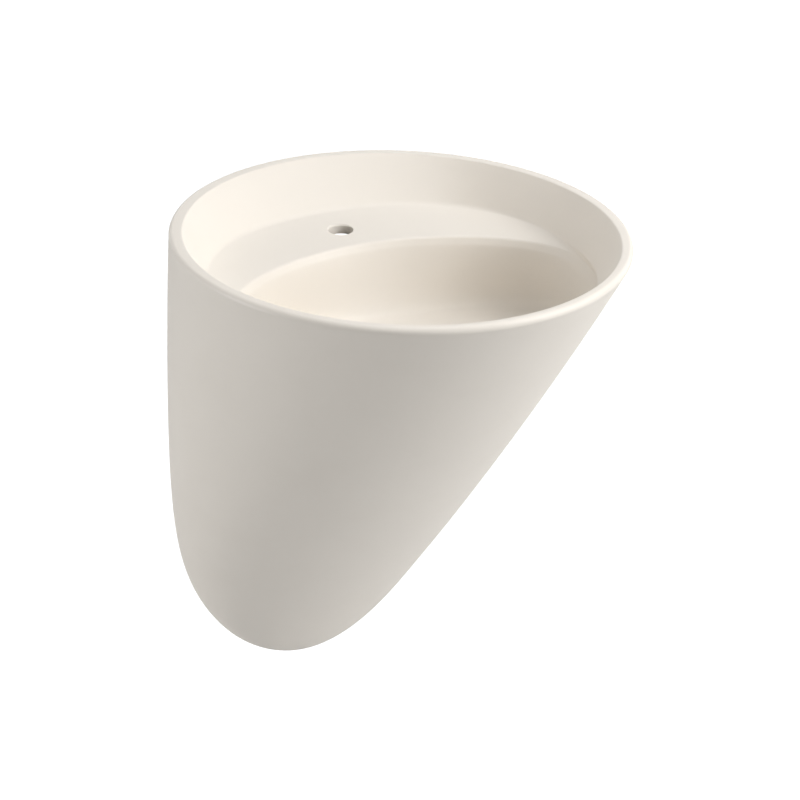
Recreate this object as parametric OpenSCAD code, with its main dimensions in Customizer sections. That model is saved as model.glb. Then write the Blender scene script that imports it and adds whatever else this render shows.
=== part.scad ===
// Wall hung washbasin with a slanted hollow body, a crescent tap deck, a push open waste,
// a bottle trap inside the body and a hidden steel hanger.
// The wall is the plane y = 0, the front faces -Y and the origin is the middle of the
// four wall fixing holes. Levels called drops are measured down from the top of the rim.

/* [Body outside] */
// Width of the rim
body_width = 480; // [460:1:500]
// Depth of the rim from the wall
rim_depth = 536; // [510:1:550]
// Height of the body from its lowest point to the rim
body_height = 645; // [625:1:670]
// Thickness of the rim at the sides, with its flat top
rim_width = 14.5; // [12.5:0.5:17]
// How much thicker the rim is at the wall, and thinner at the front
rim_shift = 3; // [0:0.5:3.5]
// Radius of the outer edge of the rim
rim_outer_round = 5; // [3.5:0.5:6]
// Radius of the inner edge of the rim
rim_inner_round = 2.5; // [1.5:0.25:4]
// Share of the depth that the straight front loses over the height
front_taper = 0.911; // [0.88:0.001:0.93]
// Power of the rounding at the foot of the front
front_power = 2.6; // [2.3:0.1:3.2]
// Root of the rounding at the foot of the front
front_root = 3.08; // [2.8:0.02:3.3]
// Share of the width that the sides lose over the height
side_taper = 0.30; // [0.26:0.01:0.34]
// Further share of the width lost with the square of the height
side_bulge = 0.08; // [0:0.01:0.14]
// Power of the rounding at the foot of the sides
side_power = 7; // [6:0.5:8]
// Root of the rounding at the foot of the sides
side_root = 1.9; // [1.7:0.05:2.2]
// Share of the height in which the middle of the sections reaches the wall
lean_share = 0.82; // [0.78:0.01:0.88]

/* [Deck and bowl] */
// Drop of the back corner of the tap deck
deck_drop = 45; // [42:1:48]
// Half of the width inside at the deck
deck_half_width = 203; // [195:1:208]
// Gap from the wall to the back corner of the deck
deck_back_gap = 73.5; // [68:0.5:80]
// Gap from the wall to the front edge of the deck
deck_edge_gap = 164; // [158:1:170]
// Fall of the deck towards the bowl
deck_fall = 7; // [4:0.5:8]
// How much narrower the inside is at the front edge of the deck, on each side
edge_inset = 3; // [1:0.5:6]
// Length of the cove between the wall and the deck
deck_cove = 5; // [4:0.5:15]
// Length of the rounding of the deck edge on each side
edge_round = 3; // [2:0.5:5]
// Depth of the slanted shoulder under the deck edge
shoulder_depth = 12; // [9:0.5:16]
// Width of the slanted shoulder under the deck edge
shoulder_width = 6; // [4:0.5:9]
// Length of the rounding under the shoulder, on the shoulder
shoulder_round = 5.4; // [3:0.2:6]
// Length of the rounding under the shoulder, down the bowl
edge_sweep = 28; // [14:1:29]
// Diameter of the tap hole
tap_hole_d = 28; // [28:0.5:35]
// Gap from the wall to the middle of the tap hole
tap_hole_gap = 122; // [118:1:127]
// Drop of the corner between the bowl walls and the bowl floor
bowl_wall_drop = 130; // [124:1:132]
// Half of the width of the bowl floor
bowl_floor_half = 184; // [170:1:188]
// Gap from the middle of the waste to the back of the bowl floor
bowl_back_reach = 58; // [52:1:60]
// Length of the rounding between the bowl walls and the floor
bowl_round = 30; // [20:1:30]
// Thickness of the front between the bowl and the outside
front_wall = 16; // [14:0.5:18]
// Drop of the floor where it reaches the waste recess
bowl_floor_drop = 139.5; // [138:0.5:141]
// Depth of the recess for the waste flange
recess_depth = 3; // [2.5:0.5:3.5]
// Gap around the waste flange in its recess
recess_gap = 2.75; // [2:0.25:3.5]

/* [Body inside] */
// Thickness of the outer walls
skin_wall = 13; // [11:0.5:15]
// Thickness of the deck around the tap hole
deck_wall = 12; // [10:0.5:13]
// Thickness of the bowl floor and its back wall
floor_wall = 14; // [12:0.5:15]
// Thickness of the outer walls towards the wall plane
edge_wall = 10; // [9:0.5:12]
// Height of solid material at the foot of the body
foot_height = 45; // [40:1:70]
// Thickness of the hanging rib under the deck
rib_wall = 13; // [11:0.5:14]
// Width of the hanging rib
rib_width = 64; // [56:1:68]
// Drop of the lower edge of the hanging rib
rib_drop = 105; // [100:1:108]

/* [Hanger] */
// Drop of the middle of the wall fixing holes
fixing_drop = 165; // [163:1:167]
// Width between the fixing holes
fixing_span_x = 124; // [110:1:128]
// Height between the fixing holes
fixing_span_z = 36; // [32:1:38]
// Diameter of the fixing holes
fixing_hole_d = 9; // [8:0.5:11]
// Thickness of the hanger steel
hanger_t = 4; // [3:0.5:4.5]
// Margin of the hanger plate around the holes
hanger_margin = 13; // [11:0.5:14]
// Thickness of the liner between hanger and rib
liner_t = 3; // [2:0.5:4]
// Height of the front lip of the hanger
hanger_lip = 22; // [16:1:26]

/* [Waste] */
// Diameter of the waste hole in the ceramic
waste_hole_d = 46; // [45:0.5:48]
// Diameter of the waste flange
flange_d = 63.5; // [62:0.5:65]
// Thickness of the waste flange
flange_t = 3.5; // [3:0.25:4]
// Outer diameter of the threaded waste tube
waste_tube_d = 41.9; // [41.5:0.1:42.2]
// Bore of the waste tube
waste_bore_d = 36; // [34:0.5:37]
// Length of the waste tube below its flange
waste_tube_l = 43.5; // [43:0.5:45]
// Thickness of the gasket under the flange
top_gasket_t = 1.5; // [1:0.25:2]
// Thickness of the gasket under the ceramic
low_gasket_t = 4; // [3:0.25:5]
// Thickness of the slip washer
slip_washer_t = 1.5; // [1:0.25:2]
// Outer diameter of the gaskets and the slip washer
gasket_d = 58; // [54:0.5:60]
// Height of the lock nut
locknut_h = 9; // [7:0.5:10]
// Width across the flats of the lock nut
locknut_w = 56; // [54:0.5:60]
// Clearance of threads and slip fits
thread_gap = 0.15; // [0.1:0.05:0.3]

/* [Push plug] */
// Diameter of the plug cap
cap_d = 62; // [60:0.5:63]
// Height of the plug cap at its edge
cap_edge = 2; // [1.5:0.25:3]
// Height of the dome of the plug cap
cap_dome = 3; // [2:0.25:4]
// Travel of the plug between closed and open
plug_travel = 9; // [7:0.5:9.5]
// Diameter of the plug seal
plug_seal_d = 44; // [43:0.5:45]
// Thickness of the plug seal
plug_seal_t = 2.1; // [1.8:0.1:2.4]
// Bore of the plug seal
plug_seal_bore = 24; // [20:0.5:28]
// Depth of the seal seat in the flange
seal_seat = 1.2; // [1:0.1:1.4]
// Gap between the closed seal and its seat
seal_gap = 0.3; // [0.2:0.05:0.4]
// Diameter of the plunger
plunger_d = 8; // [6:0.5:9]
// Running clearance of the plunger in its guide
guide_gap = 0.08; // [0.05:0.01:0.1]
// Diameter of the guide that holds the plunger
guide_d = 14; // [13:0.5:16]
// Height of the guide above its hub
guide_h = 23; // [22:0.5:24]
// Thickness of the floor of the guide under the spring
guide_floor = 2; // [1.5:0.5:3]
// Length of the plunger that stays in its guide when the plug is open
plunger_hold = 4; // [3:0.5:5]
// Diameter of the threaded stem of the guide
guide_stem_d = 10; // [9:0.5:11]
// Diameter of the hub of the waste cross
hub_d = 18; // [17:0.5:20]
// Height of the waste cross and its hub
cross_h = 6; // [5:0.5:8]
// Thickness of the arms of the waste cross
cross_t = 3; // [2.5:0.25:4]
// Arms of the waste cross
cross_arms = 3; // [3:1:4]

/* [Trap] */
// Outer diameter of the trap pipes
pipe_d = 32; // [30:0.5:33]
// Wall of the trap pipes
pipe_wall = 2; // [1.5:0.25:2.5]
// Diameter of the union nuts on the waste
inlet_nut_d = 50; // [48:0.5:52]
// Height of the union nut on the waste
inlet_nut_h = 20; // [19:0.5:21]
// Thickness of the flat trap seal
inlet_seal_t = 3; // [2:0.25:4]
// Thickness of the flange and of the nut lips
lip_t = 3; // [2.5:0.25:3.5]
// Gap between the union nut and the collar nut below it
nut_space = 1.5; // [1:0.25:2]
// Diameter of the collar nuts
collar_nut_d = 46; // [45:0.5:50]
// Height of the collar nuts
collar_nut_h = 17; // [16:0.5:19]
// Outer diameter of the threaded trap necks
neck_d = 39.5; // [39:0.5:42]
// Length of the threaded trap necks
neck_l = 15; // [14:0.5:17]
// Height of the cone seals
cone_seal_h = 4; // [3:0.25:5]
// Outer diameter of the bottle
bottle_d = 56; // [54:0.5:58]
// Wall of the bottle
bottle_wall = 2.5; // [2:0.25:3]
// Drop from the bottle shoulder to the outlet axis
outlet_drop = 20.5; // [20:0.5:23]
// Gap from the bottle side to the end of the outlet neck
outlet_reach = 20; // [19:0.5:24]
// Diameter of the screw cup
cup_d = 62; // [61:0.5:64]
// Height of the screw cup
cup_h = 44; // [42:1:46]
// Overlap of the screw cup on the bottle
cup_overlap = 9; // [8:0.5:12]
// Gap between the outlet neck and the screw cup
cup_space = 1; // [0.8:0.1:2]
// Clearance between the foot of the screw cup and the front wall of the body
cup_clear = 11; // [8:0.5:14]
// Thickness of the cup seal
cup_seal_t = 2; // [1.5:0.25:2.5]
// Distance from the dip tube to the cup floor
dip_gap = 16; // [14:1:20]
// Length of the outlet pipe that goes into the drain behind the wall plane
outlet_past_wall = 30; // [30:1:50]
// Length of the slimmer end of the outlet pipe that enters the drain
outlet_end_l = 28; // [24:1:28]
// Diameter of the slimmer end of the outlet pipe
outlet_end_d = 31.5; // [29.5:0.1:31.8]
// Diameter of the wall cover ring
rosette_d = 58; // [54:0.5:60]
// Thickness of the wall cover ring
rosette_t = 6; // [4:0.5:8]
// Ribs on each plastic nut
nut_ribs = 16; // [12:2:24]
// Depth of the ribs on the plastic nuts
nut_rib_depth = 1; // [0.6:0.1:1.4]

/* [Hidden] */
$fn = 96;
eps = 0.01;
cut = 1;
arc_steps = 61;
lip_steps = 5;
edge_steps = 4;
skin_steps = 25;
bend_steps = 4;
cavity_arc = 40;
cavity_steps = 14;

// levels of the body, in the frame of the wall fixings
rim_z = fixing_drop;
foot_share = 0.998;
skin_height = (body_height - rim_outer_round) / foot_share;
front_lean = atan(front_taper * rim_depth / skin_height);
skin_depth = rim_depth + rim_outer_round * (1 / cos(front_lean) - 1);
first_share = 0.016;
foot_smooth = 0.12;
middle_limit = 0.98;
slope_step = 0.006;
bend_limit = 0.45;

// how square the ovals of the inside are, and how far in front of the middle they are widest
corner_power_back = 2.2;
inner_power_front = 2.1;
edge_power_back = 1.9;
floor_power = 2.3;
edge_shift = 34;
floor_shift = 18;
under_shift = 12;
recess_bevel = 1.5;

// how far the underside of the bowl lies outside its inside, and the rounding of its corner
under_slack = 2;
under_reach = 20;
under_side = 3;
under_draw = 18;
under_corner = [14, 10, 4];
seat_drop = bowl_floor_drop + recess_depth;
recess_r = flange_d / 2 + recess_gap;
rim_middle = -rim_depth / 2;
tap_drop = deck_drop + deck_fall * (tap_hole_gap - deck_back_gap) / (deck_edge_gap - deck_back_gap);
deck_under_drop = tap_drop + deck_wall;

// levels of the waste, measured from its seat in the bowl
seat_z = rim_z - seat_drop;
flange_z = seat_z + top_gasket_t;
flange_top = flange_z + flange_t;
under_z = seat_z - floor_wall;
tube_end = flange_z - waste_tube_l;
locknut_z = under_z - low_gasket_t - slip_washer_t - locknut_h;
hub_top = tube_end + cross_h;
guide_top = hub_top + guide_h;
cap_z = flange_top - seal_seat + seal_gap + plug_seal_t;
plunger_foot = guide_top - plug_travel - plunger_hold;
spring_foot = hub_top + guide_floor;
spring_gap = 0.3;
spring_wall = 1;
boss_gap = 1;
seat_gap = 1;
arm_sink = 0.5;
gasket_bevel = 2;
locknut_bevel = 1.5;

// levels of the trap
inlet_flange_z = tube_end - inlet_seal_t - lip_t;
inlet_nut_z = inlet_flange_z - lip_t;
collar_top = inlet_nut_z - nut_space;
neck_top = collar_top - lip_t - cone_seal_h;
bottle_top = neck_top - neck_l;
outlet_z = bottle_top - outlet_drop;
bottle_h = outlet_drop + neck_d / 2 + cup_space + cup_overlap;
bottle_foot = bottle_top - bottle_h;
cup_top = bottle_foot + cup_overlap;
cup_foot = cup_top - cup_h;
dip_end = cup_foot + bottle_wall + dip_gap;
cup_body_d = bottle_d - bottle_wall;
neck_bore_d = pipe_d + 2 * thread_gap;
rib_cut_r = 1.5;
flange_gap = 0.5;
cone_taper = 0.5;
rosette_slope = 5;

// levels of the hanger
rib_y = -hanger_t - liner_t;
rib_foot_z = rim_z - rib_drop;
channel_z = rib_foot_z - liner_t;
hanger_w = fixing_span_x + 2 * hanger_margin;
hanger_foot = -fixing_span_z / 2 - hanger_margin;
channel_depth = hanger_t + liner_t + rib_wall + liner_t;

ceramic = [0.95, 0.92, 0.88];
brass = [0.80, 0.80, 0.82];
rubber = [0.12, 0.12, 0.13];
plastic = [0.93, 0.93, 0.92];
steel = [0.62, 0.63, 0.65];

// curves of the outside, where t runs from 0 at the rim to 1 at the foot
function skin_half(t) = body_width / 2 * (1 - side_taper * t - side_bulge * t * t)
    * pow(max(1 - pow(t, side_power), 0), 1 / side_root);
function skin_front(t) = -skin_depth * (1 - front_taper * t)
    * pow(max(1 - pow(t, front_power), 0), 1 / front_root);
function lean(u) = (u + sqrt(u * u + foot_smooth * foot_smooth))
    / (1 + sqrt(1 + foot_smooth * foot_smooth));
function skin_middle(t) = max(-skin_depth / 2 * lean(1 - t / lean_share), middle_limit * skin_front(t));
function skin_drop(t) = rim_outer_round + skin_height * t;
function front_at(drop) = skin_front((drop - rim_outer_round) / skin_height);

// the waste stands as far forward as the slanted front leaves room for the trap under it
waste_y = front_at(rim_z - cup_foot) + skin_wall / cos(front_lean) + cup_clear + cup_body_d / 2;
outlet_neck_y = waste_y + bottle_d / 2 + outlet_reach;
bowl_floor_y = waste_y + bowl_back_reach;

// a ring of points at one level, open towards the wall where the wall cuts it
function end_angle(half, front, middle, wall, steps) =
    let (reach = middle - front)
    min(90 - 180 / steps, asin(min(1, (wall - middle) / reach)));
function section(half, front, middle, z, wall, steps) =
    let (start = end_angle(half, front, middle, wall, steps))
    [for (j = [0:steps - 1])
        let (a = start - (180 + 2 * start) * j / (steps - 1))
        [half * cos(a), middle + (middle - front) * sin(a), z]];
function turn(j) = 90 - 180 / arc_steps - 360 * j / arc_steps;

// slope of the outside at the rim along the horizontal direction n
function reach_along(t, n) = let (b = skin_middle(t) - skin_front(t))
    sqrt(pow(skin_half(t) * n.x, 2) + pow(b * n.y, 2)) + skin_middle(t) * n.y;
function rim_slope(n) =
    atan(max(reach_along(0, n) - reach_along(slope_step, n), 0) / (slope_step * skin_height));
function rim_normal(a) =
    let (v = [cos(a) / skin_half(0), sin(a) / (skin_middle(0) - skin_front(0))])
    v / norm(v);
function lip_middle(a, r, inward) = let (n = rim_normal(a),
        d = rim_outer_round / cos(rim_slope(n)) + inward)
    [skin_half(0) * cos(a) - n.x * d,
     skin_middle(0) + (skin_middle(0) - skin_front(0)) * sin(a) - n.y * d,
     rim_z - r];
function outer_middle(a) = lip_middle(a, rim_outer_round, 0);
function inner_middle(a) = lip_middle(a, rim_inner_round,
    rim_width + rim_shift * rim_normal(a).y - rim_outer_round - rim_inner_round);

// an oval with its own reach to the back and to the front of its widest line
function signed(v, e) = sign(v) * pow(abs(v), e);
function oval(half, back, front, middle, p_back, p_front, z, a) =
    let (p = sin(a) > 0 ? p_back : p_front, reach = sin(a) > 0 ? back - middle : middle - front)
    [half * signed(cos(a), 2 / p), middle + reach * signed(sin(a), 2 / p), z];

// control curves of the inside: deck corner, deck edge, shoulder, floor corner and recess
front_gap = front_wall / cos(front_lean);
function inner_front(drop) = front_at(drop) + front_gap;
edge_drop = deck_drop + deck_fall;
edge_half = deck_half_width - edge_inset;
function deck_corner(a) = oval(deck_half_width, -deck_back_gap, inner_front(deck_drop),
    rim_middle, corner_power_back, inner_power_front, rim_z - deck_drop, a);
function deck_edge(a) = oval(edge_half, -deck_edge_gap, inner_front(edge_drop),
    rim_middle - edge_shift, edge_power_back, inner_power_front, rim_z - edge_drop, a);
shoulder_drop = edge_drop + shoulder_depth;
function shoulder(a) = oval(edge_half - shoulder_width, -deck_edge_gap - shoulder_width,
    inner_front(shoulder_drop), rim_middle - edge_shift, edge_power_back, inner_power_front,
    rim_z - shoulder_drop, a);
function floor_corner(a) = oval(bowl_floor_half, bowl_floor_y, inner_front(bowl_wall_drop),
    rim_middle - floor_shift, floor_power, floor_power, rim_z - bowl_wall_drop, a);
function around_waste(r, z, a) = [r * cos(a), waste_y + r * sin(a), z];
function recess_edge(a) = around_waste(recess_r + recess_bevel, rim_z - bowl_floor_drop, a);
function recess_foot(a) = around_waste(recess_r, seat_z, a);

// the inner edge of the rim, where the inner wall leaves it
function inner_slope(a) =
    let (m = inner_middle(a), n = rim_normal(a), c = deck_corner(a),
         d = (m.x - c.x) * n.x + (m.y - c.y) * n.y, h = m.z - c.z)
    acos(rim_inner_round / sqrt(d * d + h * h)) - atan2(h, d);
function lip_point(m, n, r, w) = [m.x + n.x * r * cos(w), m.y + n.y * r * cos(w), m.z + r * sin(w)];
function outer_lip(a, u) = let (n = rim_normal(a), w = -rim_slope(n))
    lip_point(outer_middle(a), n, rim_outer_round, w + (90 - w) * u);
function inner_lip(a, u) =
    lip_point(inner_middle(a), rim_normal(a), rim_inner_round, 90 + (90 - inner_slope(a)) * u);

// a corner between two straight stretches, rounded over a set length of each
function toward(p, q, len) = let (d = norm(q - p)) p + (q - p) * min(len, bend_limit * d) / d;
function bend(p, corner, q, before, after, u) =
    let (s = toward(corner, p, before), e = toward(corner, q, after))
    s * (1 - u) * (1 - u) + corner * 2 * u * (1 - u) + e * u * u;

skin_levels = [for (i = [0:skin_steps - 1])
    first_share + (foot_share - first_share) * sin(90 * i / (skin_steps - 1))];
skin_rings = [for (i = [skin_steps - 1:-1:0]) let (t = skin_levels[i])
    section(skin_half(t), skin_front(t), skin_middle(t), rim_z - skin_drop(t), 0, arc_steps)];
lip_rings = concat(
    [for (i = [0:lip_steps]) [for (j = [0:arc_steps - 1]) outer_lip(turn(j), i / lip_steps)]],
    [for (i = [0:bend_steps]) [for (j = [0:arc_steps - 1]) inner_lip(turn(j), i / bend_steps)]]);
cove_rings = [for (i = [0:bend_steps]) [for (j = [0:arc_steps - 1]) let (a = turn(j))
    bend(inner_lip(a, 1), deck_corner(a), deck_edge(a), deck_cove, deck_cove, i / bend_steps)]];
edge_rings = [for (i = [0:edge_steps]) [for (j = [0:arc_steps - 1]) let (a = turn(j))
    bend(deck_corner(a), deck_edge(a), shoulder(a), edge_round, edge_round, i / edge_steps)]];
shoulder_rings = [for (i = [0:bend_steps]) [for (j = [0:arc_steps - 1]) let (a = turn(j))
    bend(deck_edge(a), shoulder(a), floor_corner(a), shoulder_round, edge_sweep, i / bend_steps)]];
floor_rings = [for (i = [0:bend_steps + 1]) [for (j = [0:arc_steps - 1]) let (a = turn(j))
    bend(shoulder(a), floor_corner(a), recess_edge(a), bowl_round, bowl_round,
        i / (bend_steps + 1))]];
recess_rings = [[for (j = [0:arc_steps - 1]) recess_edge(turn(j))],
    [for (j = [0:arc_steps - 1]) recess_foot(turn(j))]];

// closed skin over a stack of rings, each with the same number of points
module stack(rings) {
    n = len(rings[0]);
    m = len(rings);
    sides = [for (i = [0:m - 2], j = [0:n - 1]) let (k = (j + 1) % n, a = i * n, b = a + n)
        each [[a + j, b + k, b + j], [a + j, a + k, b + k]]];
    first = [for (j = [n - 1:-1:0]) j];
    last = [for (j = [0:n - 1]) (m - 1) * n + j];
    polyhedron([for (r = rings) each r], concat(sides, [first, last]), convexity = 8);
}

module outer_form() {
    stack(concat(skin_rings, lip_rings, cove_rings, edge_rings, shoulder_rings,
        floor_rings, recess_rings));
}

// inside of the hollow body, wider than the opening so that it breaks through at the wall
module hollow_form() {
    t0 = (deck_under_drop - rim_outer_round) / skin_height;
    t1 = 1 - foot_height / skin_height;
    inset = skin_wall / cos(front_lean);
    shift = (inset - edge_wall) / 2;
    stack([for (i = [cavity_steps:-1:0]) let (t = t0 + (t1 - t0) * i / cavity_steps)
        section(skin_half(t) - skin_wall, skin_front(t) + inset, skin_middle(t) + shift,
            rim_z - skin_drop(t), skin_wall, cavity_arc)]);
}

// underside of the bowl, which stays standing in the hollow body
module bowl_under_form() {
    back = floor_wall + under_slack;
    foot = [bowl_floor_half - under_draw, bowl_floor_y, seat_drop + floor_wall];
    levels = [
        [deck_half_width + under_reach, -deck_edge_gap + back, deck_drop + under_slack],
        [bowl_floor_half + floor_wall + under_side, bowl_floor_y + back, bowl_wall_drop + under_slack],
        foot + [under_corner.x, under_corner.y, -under_corner.z],
        foot];
    stack([for (i = [len(levels) - 1:-1:0]) let (l = levels[i])
        [for (j = [0:cavity_arc - 1]) let (a = 90 - 360 * (j + 0.5) / cavity_arc)
            oval(l[0], l[1], -rim_depth, rim_middle - under_shift, floor_power, floor_power,
                rim_z - l[2], a)]]);
}

module basin_body() {
    color(ceramic) difference() {
        outer_form();
        difference() {
            hollow_form();
            bowl_under_form();
            translate([-rib_width / 2, rib_y - rib_wall, rib_foot_z])
                cube([rib_width, rib_wall, rib_drop - deck_under_drop + cut]);
        }
        translate([0, -tap_hole_gap, rim_z - deck_under_drop - cut])
            cylinder(h = deck_wall + deck_fall + 2 * cut, d = tap_hole_d);
        translate([0, waste_y, under_z - cut])
            cylinder(h = floor_wall + 2 * cut, d = waste_hole_d);
    }
}

module wall_hanger() {
    color(steel) difference() {
        union() {
            translate([-hanger_w / 2, -hanger_t, hanger_foot])
                cube([hanger_w, hanger_t, -2 * hanger_foot]);
            translate([-rib_width / 2, -hanger_t, -hanger_foot - cut])
                cube([rib_width, hanger_t, channel_z + hanger_foot + cut]);
            translate([-rib_width / 2, -channel_depth - hanger_t, channel_z - hanger_t])
                cube([rib_width, channel_depth + hanger_t, hanger_t]);
            translate([-rib_width / 2, -channel_depth - hanger_t, channel_z - hanger_t])
                cube([rib_width, hanger_t, hanger_lip]);
            translate([-rib_width / 2, -hanger_t, channel_z - hanger_t])
                cube([rib_width, hanger_t, hanger_lip]);
        }
        for (x = [-1, 1], z = [-1, 1])
            translate([x * fixing_span_x / 2, cut, z * fixing_span_z / 2])
                rotate([90, 0, 0]) cylinder(h = hanger_t + 2 * cut, d = fixing_hole_d);
    }
}

module hanger_liner() {
    liner_h = hanger_lip - hanger_t;
    color(plastic) difference() {
        translate([-rib_width / 2, -channel_depth, channel_z])
            cube([rib_width, channel_depth - hanger_t, liner_h]);
        translate([-rib_width / 2 - cut, rib_y - rib_wall, rib_foot_z])
            cube([rib_width + 2 * cut, rib_wall, liner_h]);
    }
}

// a ring around the upright axis of the waste
module ring(z, h, outer, inner) {
    translate([0, waste_y, z]) difference() {
        cylinder(h = h, d = outer);
        translate([0, 0, -cut]) cylinder(h = h + 2 * cut, d = inner);
    }
}

module waste_body() {
    color(brass) {
        difference() {
            union() {
                translate([0, waste_y, flange_z]) cylinder(h = flange_t, d = flange_d);
                translate([0, waste_y, tube_end]) cylinder(h = waste_tube_l + eps, d = waste_tube_d);
            }
            translate([0, waste_y, tube_end - cut])
                cylinder(h = waste_tube_l + flange_t + 2 * cut, d = waste_bore_d);
            translate([0, waste_y, flange_top - seal_seat])
                cylinder(h = seal_seat + cut, d = plug_seal_d + 2 * seat_gap);
        }
        difference() {
            union() {
                translate([0, waste_y, tube_end]) cylinder(h = cross_h, d = hub_d);
                for (i = [0:cross_arms - 1])
                    translate([0, waste_y, tube_end]) rotate([0, 0, 360 / cross_arms * i])
                        translate([0, -cross_t / 2, 0])
                            cube([waste_bore_d / 2 + arm_sink, cross_t, cross_h]);
            }
            translate([0, waste_y, tube_end - cut])
                cylinder(h = cross_h + 2 * cut, d = guide_stem_d + 2 * thread_gap);
        }
    }
}

module flange_gasket() {
    color(rubber) ring(seat_z, top_gasket_t, gasket_d, waste_hole_d);
}

module ceramic_gasket() {
    color(rubber) translate([0, waste_y, under_z - low_gasket_t]) difference() {
        cylinder(h = low_gasket_t, d1 = gasket_d, d2 = gasket_d - 2 * gasket_bevel);
        translate([0, 0, -cut])
            cylinder(h = low_gasket_t + 2 * cut, d = waste_tube_d + 2 * thread_gap);
    }
}

module slip_washer() {
    color(plastic) ring(under_z - low_gasket_t - slip_washer_t, slip_washer_t,
        gasket_d, waste_tube_d + 2 * thread_gap);
}

module waste_locknut() {
    color(brass) translate([0, waste_y, locknut_z]) difference() {
        intersection() {
            cylinder(h = locknut_h, d = locknut_w / cos(30), $fn = 6);
            cylinder(h = locknut_h, d = locknut_w / cos(30) - 2 * locknut_bevel);
        }
        translate([0, 0, -cut])
            cylinder(h = locknut_h + 2 * cut, d = waste_tube_d + 2 * thread_gap);
    }
}

module plunger_guide() {
    guide_bore = plunger_d + 2 * guide_gap;
    color(brass) translate([0, waste_y, 0]) difference() {
        union() {
            translate([0, 0, tube_end]) cylinder(h = cross_h + cut, d = guide_stem_d);
            translate([0, 0, hub_top]) cylinder(h = guide_h, d = guide_d);
        }
        translate([0, 0, spring_foot]) cylinder(h = guide_h, d = guide_bore);
    }
}

// the pressed spring fills the space between the plunger and the foot of its guide
module click_spring() {
    spring_d = plunger_d - 2 * spring_gap;
    color(steel) translate([0, waste_y, spring_foot]) difference() {
        cylinder(h = plunger_foot - spring_foot, d = spring_d);
        translate([0, 0, -cut]) cylinder(h = guide_h, d = spring_d - 2 * spring_wall);
    }
}

module plunger() {
    color(brass) translate([0, waste_y, plunger_foot])
        cylinder(h = cap_z + cap_edge - plunger_foot, d = plunger_d);
}

module plug_cap() {
    boss_d = plug_seal_bore - 2 * thread_gap;
    boss_h = cap_z - guide_top - boss_gap;
    dome_r = (pow(cap_d / 2, 2) + pow(cap_dome, 2)) / (2 * cap_dome);
    color(brass) translate([0, waste_y, cap_z]) difference() {
        union() {
            cylinder(h = cap_edge, d = cap_d);
            intersection() {
                translate([0, 0, cap_edge - eps]) cylinder(h = cap_dome + cut, d = cap_d);
                translate([0, 0, cap_edge + cap_dome - dome_r]) sphere(r = dome_r, $fn = 180);
            }
            translate([0, 0, -boss_h]) cylinder(h = boss_h + eps, d = boss_d);
        }
        translate([0, 0, -boss_h - cut]) cylinder(h = boss_h + cut + cap_edge, d = plunger_d);
    }
}

module plug_seal() {
    color(rubber) ring(cap_z - plug_seal_t, plug_seal_t, plug_seal_d, plug_seal_bore);
}

// a plastic nut with grip ribs, bored for its thread and for the pipe through its lip
module grip_nut(h, outer, thread_d, pipe_bore) {
    difference() {
        cylinder(h = h, d = outer);
        translate([0, 0, -cut]) cylinder(h = h + 2 * cut, d = pipe_bore);
        translate([0, 0, lip_t]) cylinder(h = h, d = thread_d + 2 * thread_gap);
        for (i = [0:nut_ribs - 1]) rotate([0, 0, 360 / nut_ribs * i])
            translate([outer / 2 + rib_cut_r - nut_rib_depth, 0, lip_t])
                cylinder(h = h, r = rib_cut_r, $fn = 24);
    }
}

module inlet_nut() {
    color(plastic) translate([0, waste_y, inlet_nut_z])
        grip_nut(inlet_nut_h, inlet_nut_d, waste_tube_d, neck_bore_d);
}

module inlet_seal() {
    color(rubber) ring(tube_end - inlet_seal_t, inlet_seal_t,
        waste_tube_d - 2 * flange_gap, pipe_d - 2 * pipe_wall);
}

module dip_tube() {
    tube_top = inlet_flange_z + lip_t;
    color(plastic) translate([0, waste_y, 0]) difference() {
        union() {
            translate([0, 0, inlet_flange_z])
                cylinder(h = lip_t, d = waste_tube_d - 2 * flange_gap);
            translate([0, 0, dip_end]) cylinder(h = tube_top - dip_end, d = pipe_d);
        }
        translate([0, 0, dip_end - cut])
            cylinder(h = tube_top - dip_end + 2 * cut, d = pipe_d - 2 * pipe_wall);
    }
}

module collar_nut() {
    color(plastic) translate([0, waste_y, collar_top]) mirror([0, 0, 1])
        grip_nut(collar_nut_h, collar_nut_d, neck_d, neck_bore_d);
}

// tapered ring that closes a neck against the pipe in it
module cone_seal() {
    difference() {
        cylinder(h = cone_seal_h, d1 = neck_d - 2 * cone_taper, d2 = neck_d);
        translate([0, 0, -cut]) cylinder(h = cone_seal_h + 2 * cut, d = pipe_d);
    }
}

module collar_seal() {
    color(rubber) translate([0, waste_y, neck_top]) cone_seal();
}

module trap_bottle() {
    inside_d = bottle_d - 2 * bottle_wall;
    color(plastic) difference() {
        union() {
            translate([0, waste_y, bottle_foot]) cylinder(h = bottle_h, d = bottle_d);
            translate([0, waste_y, bottle_top - eps]) cylinder(h = neck_l + eps, d = neck_d);
            translate([0, waste_y, outlet_z]) rotate([-90, 0, 0])
                cylinder(h = bottle_d / 2 + outlet_reach, d = neck_d);
        }
        translate([0, waste_y, bottle_foot - cut])
            cylinder(h = bottle_h + cut - bottle_wall, d = inside_d);
        translate([0, waste_y, bottle_foot]) cylinder(h = bottle_h + neck_l + cut, d = neck_bore_d);
        translate([0, waste_y, outlet_z]) rotate([-90, 0, 0])
            cylinder(h = bottle_d / 2 + outlet_reach + cut, d = neck_bore_d);
    }
}

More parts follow.
